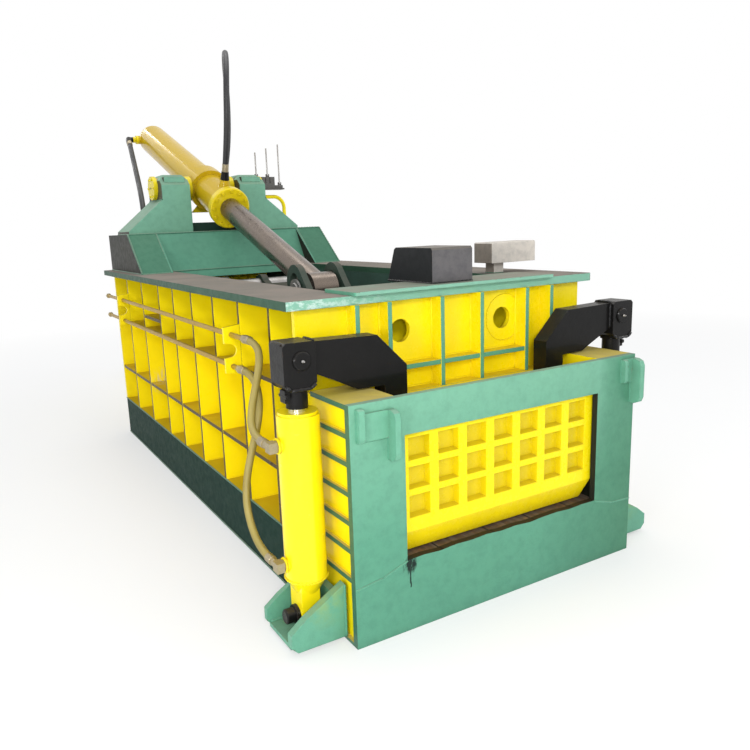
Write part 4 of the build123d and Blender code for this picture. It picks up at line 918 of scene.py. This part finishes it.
def beam_runs():
    """Front wall: its upright ribs, then its long rails."""
    y = BEAM_FACE
    low, middle, high, top = 896, 989, 1011, 1281
    runs = []
    for x in (-390, -370, -120, -100, 100, 120, 370, 390):
        runs += [[(x, y, high), (x, y, top)], [(x, y, low), (x, y, middle)]]
    return runs + [[(-368, y, z), (368, y, z)] for z in (low, middle, high)]


def housing_runs():
    """Gate housings: both faces of each level rib."""
    x, front, rear, rib_face = 747.5, 31, 369, 10
    return mirrored([[(x, front, z), (x, rear, z)]
                     for rib in (276, 395, 508, 623, 740, 848) for z in (rib - rib_face, rib + rib_face)])


def hood_runs():
    """Hood: its foot, slopes and shelf, and the posts that stand on it."""
    foot, shelf, shoulder = 1320, 1590, 1842
    front, slope_end, rear = 2775, 3095, 3742
    side, centre = 770, 568
    runs = [[(-side, front, foot), (-centre, front, foot)], [(centre, front, foot), (side, front, foot)],
            [(-centre, 2937, foot), (centre, 2937, foot)],
            [(-side, slope_end, shelf), (side, slope_end, shelf)]]
    runs += mirrored([[(centre, 2790, foot + 2), (centre, slope_end, shelf - 2)]])
    runs += mirrored([[(side, front + 3, foot), (side, rear, foot)]])
    runs += mirrored([[(side, front, foot), (side, slope_end, shelf)]])
    runs += mirrored([[(205, 3350, shelf), (700, 3350, shelf), (700, 3730, shelf), (205, 3730, shelf)],
                      [(425, 3350, shoulder), (425, 3730, shoulder)]])
    return runs + [[(-204, 3640, shelf + 1), (204, 3640, shelf + 1)]]


def base_runs():
    """Base frame: under the side bays, then along the floor."""
    x, front, rear = 783, 372, 3646
    return [run for z in (292, 8) for run in mirrored([[(x, front, z), (x, rear, z)]])]


def arm_runs():
    """Arms: the boxes at their ends and the rod ends below."""
    box = 799
    runs = [[(box, y, 1062), (box, y, 1176)] for y in (180, 260)]
    runs.append([(box, 181, 1188), (box, 259, 1188)])
    runs += [[(806, y, 1029), (828, y, 1013), (908, y, 1013), (929, y, 1031)] for y in (159, 281)]
    return mirrored(runs)


def eye_runs():
    """Lift cylinders: the necks of the foot eyes and the port bosses."""
    x, y = LIFT_CYLINDER
    return ([ring((side * x, y, 250), "z", 84.5) for side in BOTH_SIDES]
            + mirrored([ring((952, y, z), "x", 27) for z in (315, 798)]))


def bead_paint(name, colour, **finish):
    return coat(name, colour, wear=0, **finish)


mint_bead = bead_paint("mint_bead_paint", MINT, dust=0.3, gloss=0.3, mottle=0.2)
green_bead = bead_paint("green_bead_paint", (0.070, 0.190, 0.125), dust=0.5, gloss=0.36, mottle=0.2)
yellow_bead = bead_paint("yellow_bead_paint", YELLOW, dust=0.4, dust_colour=BAY_DUST, gloss=0.28, mottle=0.08)
black_bead = bead_paint("black_bead_paint", (0.011, 0.011, 0.012), dust=0.1, gloss=0.2)
ochre_bead = bead_paint("ochre_bead_paint", OCHRE, dust=0.3, gloss=0.24)

# Name, runs, radius in metres, material, body and slot
WELDS = (
    ("front_plate_welds", plate_runs(), 0.005, mint_bead, "frame", "mint_paint"),
    ("bracket_welds", bracket_runs(), 0.0065, mint_bead, "frame", "mint_paint"),
    ("wall_welds", wall_runs(), 0.0055, yellow_bead, "frame", "yellow_paint"),
    ("rail_welds", rail_runs(), 0.0055, yellow_bead, "frame", "yellow_paint"),
    ("front_beam_welds", beam_runs(), 0.0055, yellow_bead, "frame", "yellow_paint"),
    ("housing_welds", housing_runs(), 0.005, yellow_bead, "frame", "yellow_paint"),
    ("hood_welds", hood_runs(), 0.0065, green_bead, "frame", "mint_paint"),
    ("base_welds", base_runs(), 0.005, green_bead, "frame", "dark_paint"),
    ("block_welds", [outline(-125, 95, 350, 699, 1336)], 0.006, black_bead, "frame", "black_paint"),
    ("box_foot_weld", [outline(560, 625, 735, 800, 1321)], 0.004, green_bead, "frame", "grey_paint"),
    ("arm_welds", arm_runs(), 0.0075, black_bead, "gate_carriage", "black_paint"),
    ("lift_eye_welds", eye_runs(), 0.0055, yellow_bead, "frame", "yellow_paint"),
    ("bay_ring", [ring((300, BEAM_FACE, 1148), "y", 108)], 0.0030, yellow_bead, "frame", "yellow_paint"),
    ("collar_welds", mirrored([ring((141, *TRUNNION), "x", 91)]), 0.006, ochre_bead, "lid_cylinder",
     "yellow_paint"),
)
for name, runs, radius, material, body, finish_slot in WELDS:
    piece = link_mesh(name, *bead(runs, radius), material)
    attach(piece, body)


# Small fittings
def make_barrel_lug():
    """Plate lug under the lid cylinder's collar, with its edges broken."""
    corners = ((-129, 1745), (34, 1745), (-30, 1835), (-42, 1835))
    front, rear = 3595, 3615
    mesh = bmesh.new()
    near_side = [mesh.verts.new(at(x, front, z)) for x, z in corners]
    far_side = [mesh.verts.new(at(x, rear, z)) for x, z in corners]
    mesh.faces.new(near_side)
    mesh.faces.new(list(reversed(far_side)))
    for k in range(len(corners)):
        nxt = (k + 1) % len(corners)
        mesh.faces.new((near_side[k], far_side[k], far_side[nxt], near_side[nxt]))
    bmesh.ops.recalc_face_normals(mesh, faces=mesh.faces)
    bmesh.ops.bevel(mesh, geom=list(mesh.edges), offset=0.003, segments=2, affect="EDGES")
    data = bpy.data.meshes.new("barrel_lug")
    mesh.to_mesh(data)
    mesh.free()
    data.materials.append(made["lid_cylinder_head"])
    return link("barrel_lug", data)


barrel_lug = make_barrel_lug()
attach(barrel_lug, "lid_cylinder")

ROUND = 24
HEXAGON = 6
NIPPLE_SIDES = 14


def turned(name, start, aim, profile, material, body, sides):
    """Round or hexagonal sleeve from start towards aim; the profile gives (distance, radius) in mm."""
    begin = at(*start)
    ahead = (at(*aim) - begin).normalized()
    places = [begin + ahead * (distance / 1000) for distance, radius in profile]
    vertices, faces = sweep(places, [radius / 1000 for distance, radius in profile], sides)
    piece = link_mesh(name, vertices, faces, material, sides > HEXAGON)
    for end in piece.data.polygons[-2:]:
        end.use_smooth = False
    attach(piece, body)


def crimp(radius, length):
    """Outline of a sleeve with pressed grooves."""
    wall, groove, pitch = 3, 1.4, 8
    profile = [(0, radius), (0.6, radius + wall)]
    place = 7
    while place < length - pitch:
        profile += [(place, radius + wall), (place + 0.8, radius + groove), (place + 2.6, radius + groove),
                    (place + 3.4, radius + wall)]
        place += pitch
    return profile + [(length - 2, radius + wall), (length, radius + 0.8)]


LIFT_CRIMP = crimp(16.2, 44)
LID_CRIMP = crimp(22.2, 58)
SLEEVES = {
    "upper_line_sleeve": ((-825, 786, 1120), (-825, 670, 1120), LIFT_CRIMP, "frame"),
    "upper_port_sleeve": ((-976, 276, 798), (-976, 390, 798), LIFT_CRIMP, "frame"),
    "lower_line_sleeve": ((-825, 871, 970), (-825, 755, 970), LIFT_CRIMP, "frame"),
    "lower_port_sleeve": ((-976, 276, 315), (-976, 390, 315), LIFT_CRIMP, "frame"),
    "tail_port_sleeve": (TAIL_START, TAIL_AIM, LID_CRIMP, "lid_cylinder"),
    "tail_foot_sleeve": (TAIL_END, (-455, 3822, 1572), LID_CRIMP, "frame"),
    "head_port_sleeve": (HEAD_START, HEAD_AIM, LID_CRIMP, "lid_cylinder"),
    "head_foot_sleeve": (HEAD_END, (221, 3822, 1630), LID_CRIMP, "frame"),
}
for name, (start, aim, profile, body) in SLEEVES.items():
    turned(name, start, aim, profile, sleeve_zinc, body, ROUND)

NUT = ((0, 31), (3, 35), (21, 35), (24, 31))
NUT_FOOT = 1384
for name, end in (("tail_foot_nut", TAIL_END), ("head_foot_nut", HEAD_END)):
    turned(name, (*end[:2], NUT_FOOT), end, NUT, sleeve_zinc, "frame", HEXAGON)

NIPPLE = ((0, 6), (4, 6), (4.5, 4), (9, 3.6), (9.6, 2.6), (11, 2.6), (11.6, 3.6), (13.6, 3.6), (15, 2))
for side, word in zip(BOTH_SIDES, ("left", "right")):
    turned(word + "_cap_nipple", (side * 455, *TRUNNION), (side * 500, *TRUNNION), NIPPLE, bright_steel,
           "frame", NIPPLE_SIDES)
    turned(word + "_pin_nipple", (side * 860, 151, 1120), (side * 860, 100, 1120), NIPPLE, bright_steel,
           "gate_carriage", NIPPLE_SIDES)


# Floor, lamps and world
FLOOR_HALF = 60
FLOOR_NEAR = 3.0
FLOOR_FAR = 9.0
FLOOR_NEAR_WHITE = 0.45
SKY = (0.93, 0.96, 1.0, 1)
SKY_STRENGTH = 0.55
BACKGROUND_RAYS = ("Is Camera Ray", "Is Glossy Ray", "Is Transmission Ray")


def lay_floor():
    """Pale floor that keeps the machine's shadow and turns into the white background further off."""
    h = FLOOR_HALF
    data = bpy.data.meshes.new("floor")
    data.from_pydata([(-h, -h, 0), (h, -h, 0), (h, h, 0), (-h, h, 0)], [], [(0, 1, 2, 3)])
    floor = link("floor", data)
    m = Paint("floor_paint")
    tone = m.mix(m.spread(m.noise(0.8), 0.3, 0.7, 0.25), (0.86, 0.86, 0.85), (0.82, 0.82, 0.81))
    data.materials.append(m.finish(tone, 0.85))
    white = m.add("ShaderNodeEmission")
    reach = m.add("ShaderNodeVectorMath", operation="LENGTH")
    m.put(reach.inputs[0], m.place.outputs["Object"])
    far = m.spread(reach.outputs["Value"], FLOOR_NEAR, FLOOR_FAR)
    seen = m.add("ShaderNodeLightPath")
    rays = m.either(*(seen.outputs[kind] for kind in BACKGROUND_RAYS))
    mixed = m.add("ShaderNodeMixShader")
    m.put(mixed.inputs[0], m.both(m.mix_value(far, FLOOR_NEAR_WHITE, 1.0), rays))
    m.put(mixed.inputs[1], m.shader.outputs[0])
    m.put(mixed.inputs[2], white.outputs[0])
    out = next(n for n in m.tree.nodes if n.type == "OUTPUT_MATERIAL")
    m.put(out.inputs["Surface"], mixed.outputs[0])


def lamp(name, place, aim, size, power):
    """Rectangular lamp of a size in metres and a power in watts, turned to a point."""
    data = bpy.data.lights.new(name, "AREA")
    data.shape = "RECTANGLE"
    data.size, data.size_y = size
    data.energy = power
    way = Vector(aim) - Vector(place)
    turn = way.to_track_quat("-Z", "Y").to_matrix().to_4x4()
    link(name, data).matrix_world = Matrix.Translation(place) @ turn


def light_world():
    """White to every ray of the background, and softer to the light that falls on the machine."""
    world = bpy.data.worlds.new("studio")
    bpy.context.scene.world = world
    world.use_nodes = True
    tree = world.node_tree
    for old in list(tree.nodes):
        tree.nodes.remove(old)
    out = tree.nodes.new("ShaderNodeOutputWorld")
    soft = tree.nodes.new("ShaderNodeBackground")
    soft.inputs["Color"].default_value = SKY
    soft.inputs["Strength"].default_value = SKY_STRENGTH
    white = tree.nodes.new("ShaderNodeBackground")
    white.inputs["Color"].default_value = (1, 1, 1, 1)
    white.inputs["Strength"].default_value = 1.0
    path = tree.nodes.new("ShaderNodeLightPath")
    share = path.outputs[BACKGROUND_RAYS[0]]
    for kind in BACKGROUND_RAYS[1:]:
        larger = tree.nodes.new("ShaderNodeMath")
        larger.operation = "MAXIMUM"
        tree.links.new(share, larger.inputs[0])
        tree.links.new(path.outputs[kind], larger.inputs[1])
        share = larger.outputs[0]
    mixed = tree.nodes.new("ShaderNodeMixShader")
    tree.links.new(share, mixed.inputs[0])
    tree.links.new(soft.outputs[0], mixed.inputs[1])
    tree.links.new(white.outputs[0], mixed.inputs[2])
    tree.links.new(mixed.outputs[0], out.inputs[0])


lay_floor()
lamp("key", (-3.4, -7.8, 4.4), (0.1, -0.6, 0.8), (2.0, 1.4), 235)
lamp("flash", (-2.4, -4.75, 1.8), (-0.1, -0.4, 0.9), (0.5, 0.4), 44)
lamp("side_key", (-4.8, -4.2, 1.6), (-0.8, -0.2, 0.8), (1.2, 1.0), 90)
lamp("side_fill", (-9.0, 0.5, 3.0), (0, 0, 0.8), (5, 3), 62)
lamp("rim", (-1.7, 9.6, 6.0), (0, 2.8, 2.1), (0.3, 3.0), 75)
lamp("right_fill", (8.0, -4.0, 5.0), (0, 0, 0.9), (5, 4), 220)
lamp("overhead", (0.5, 1.0, 8.0), (0, 0.6, 0), (6, 6), 260)
light_world()
bpy.context.scene.view_settings.view_transform = "Standard"
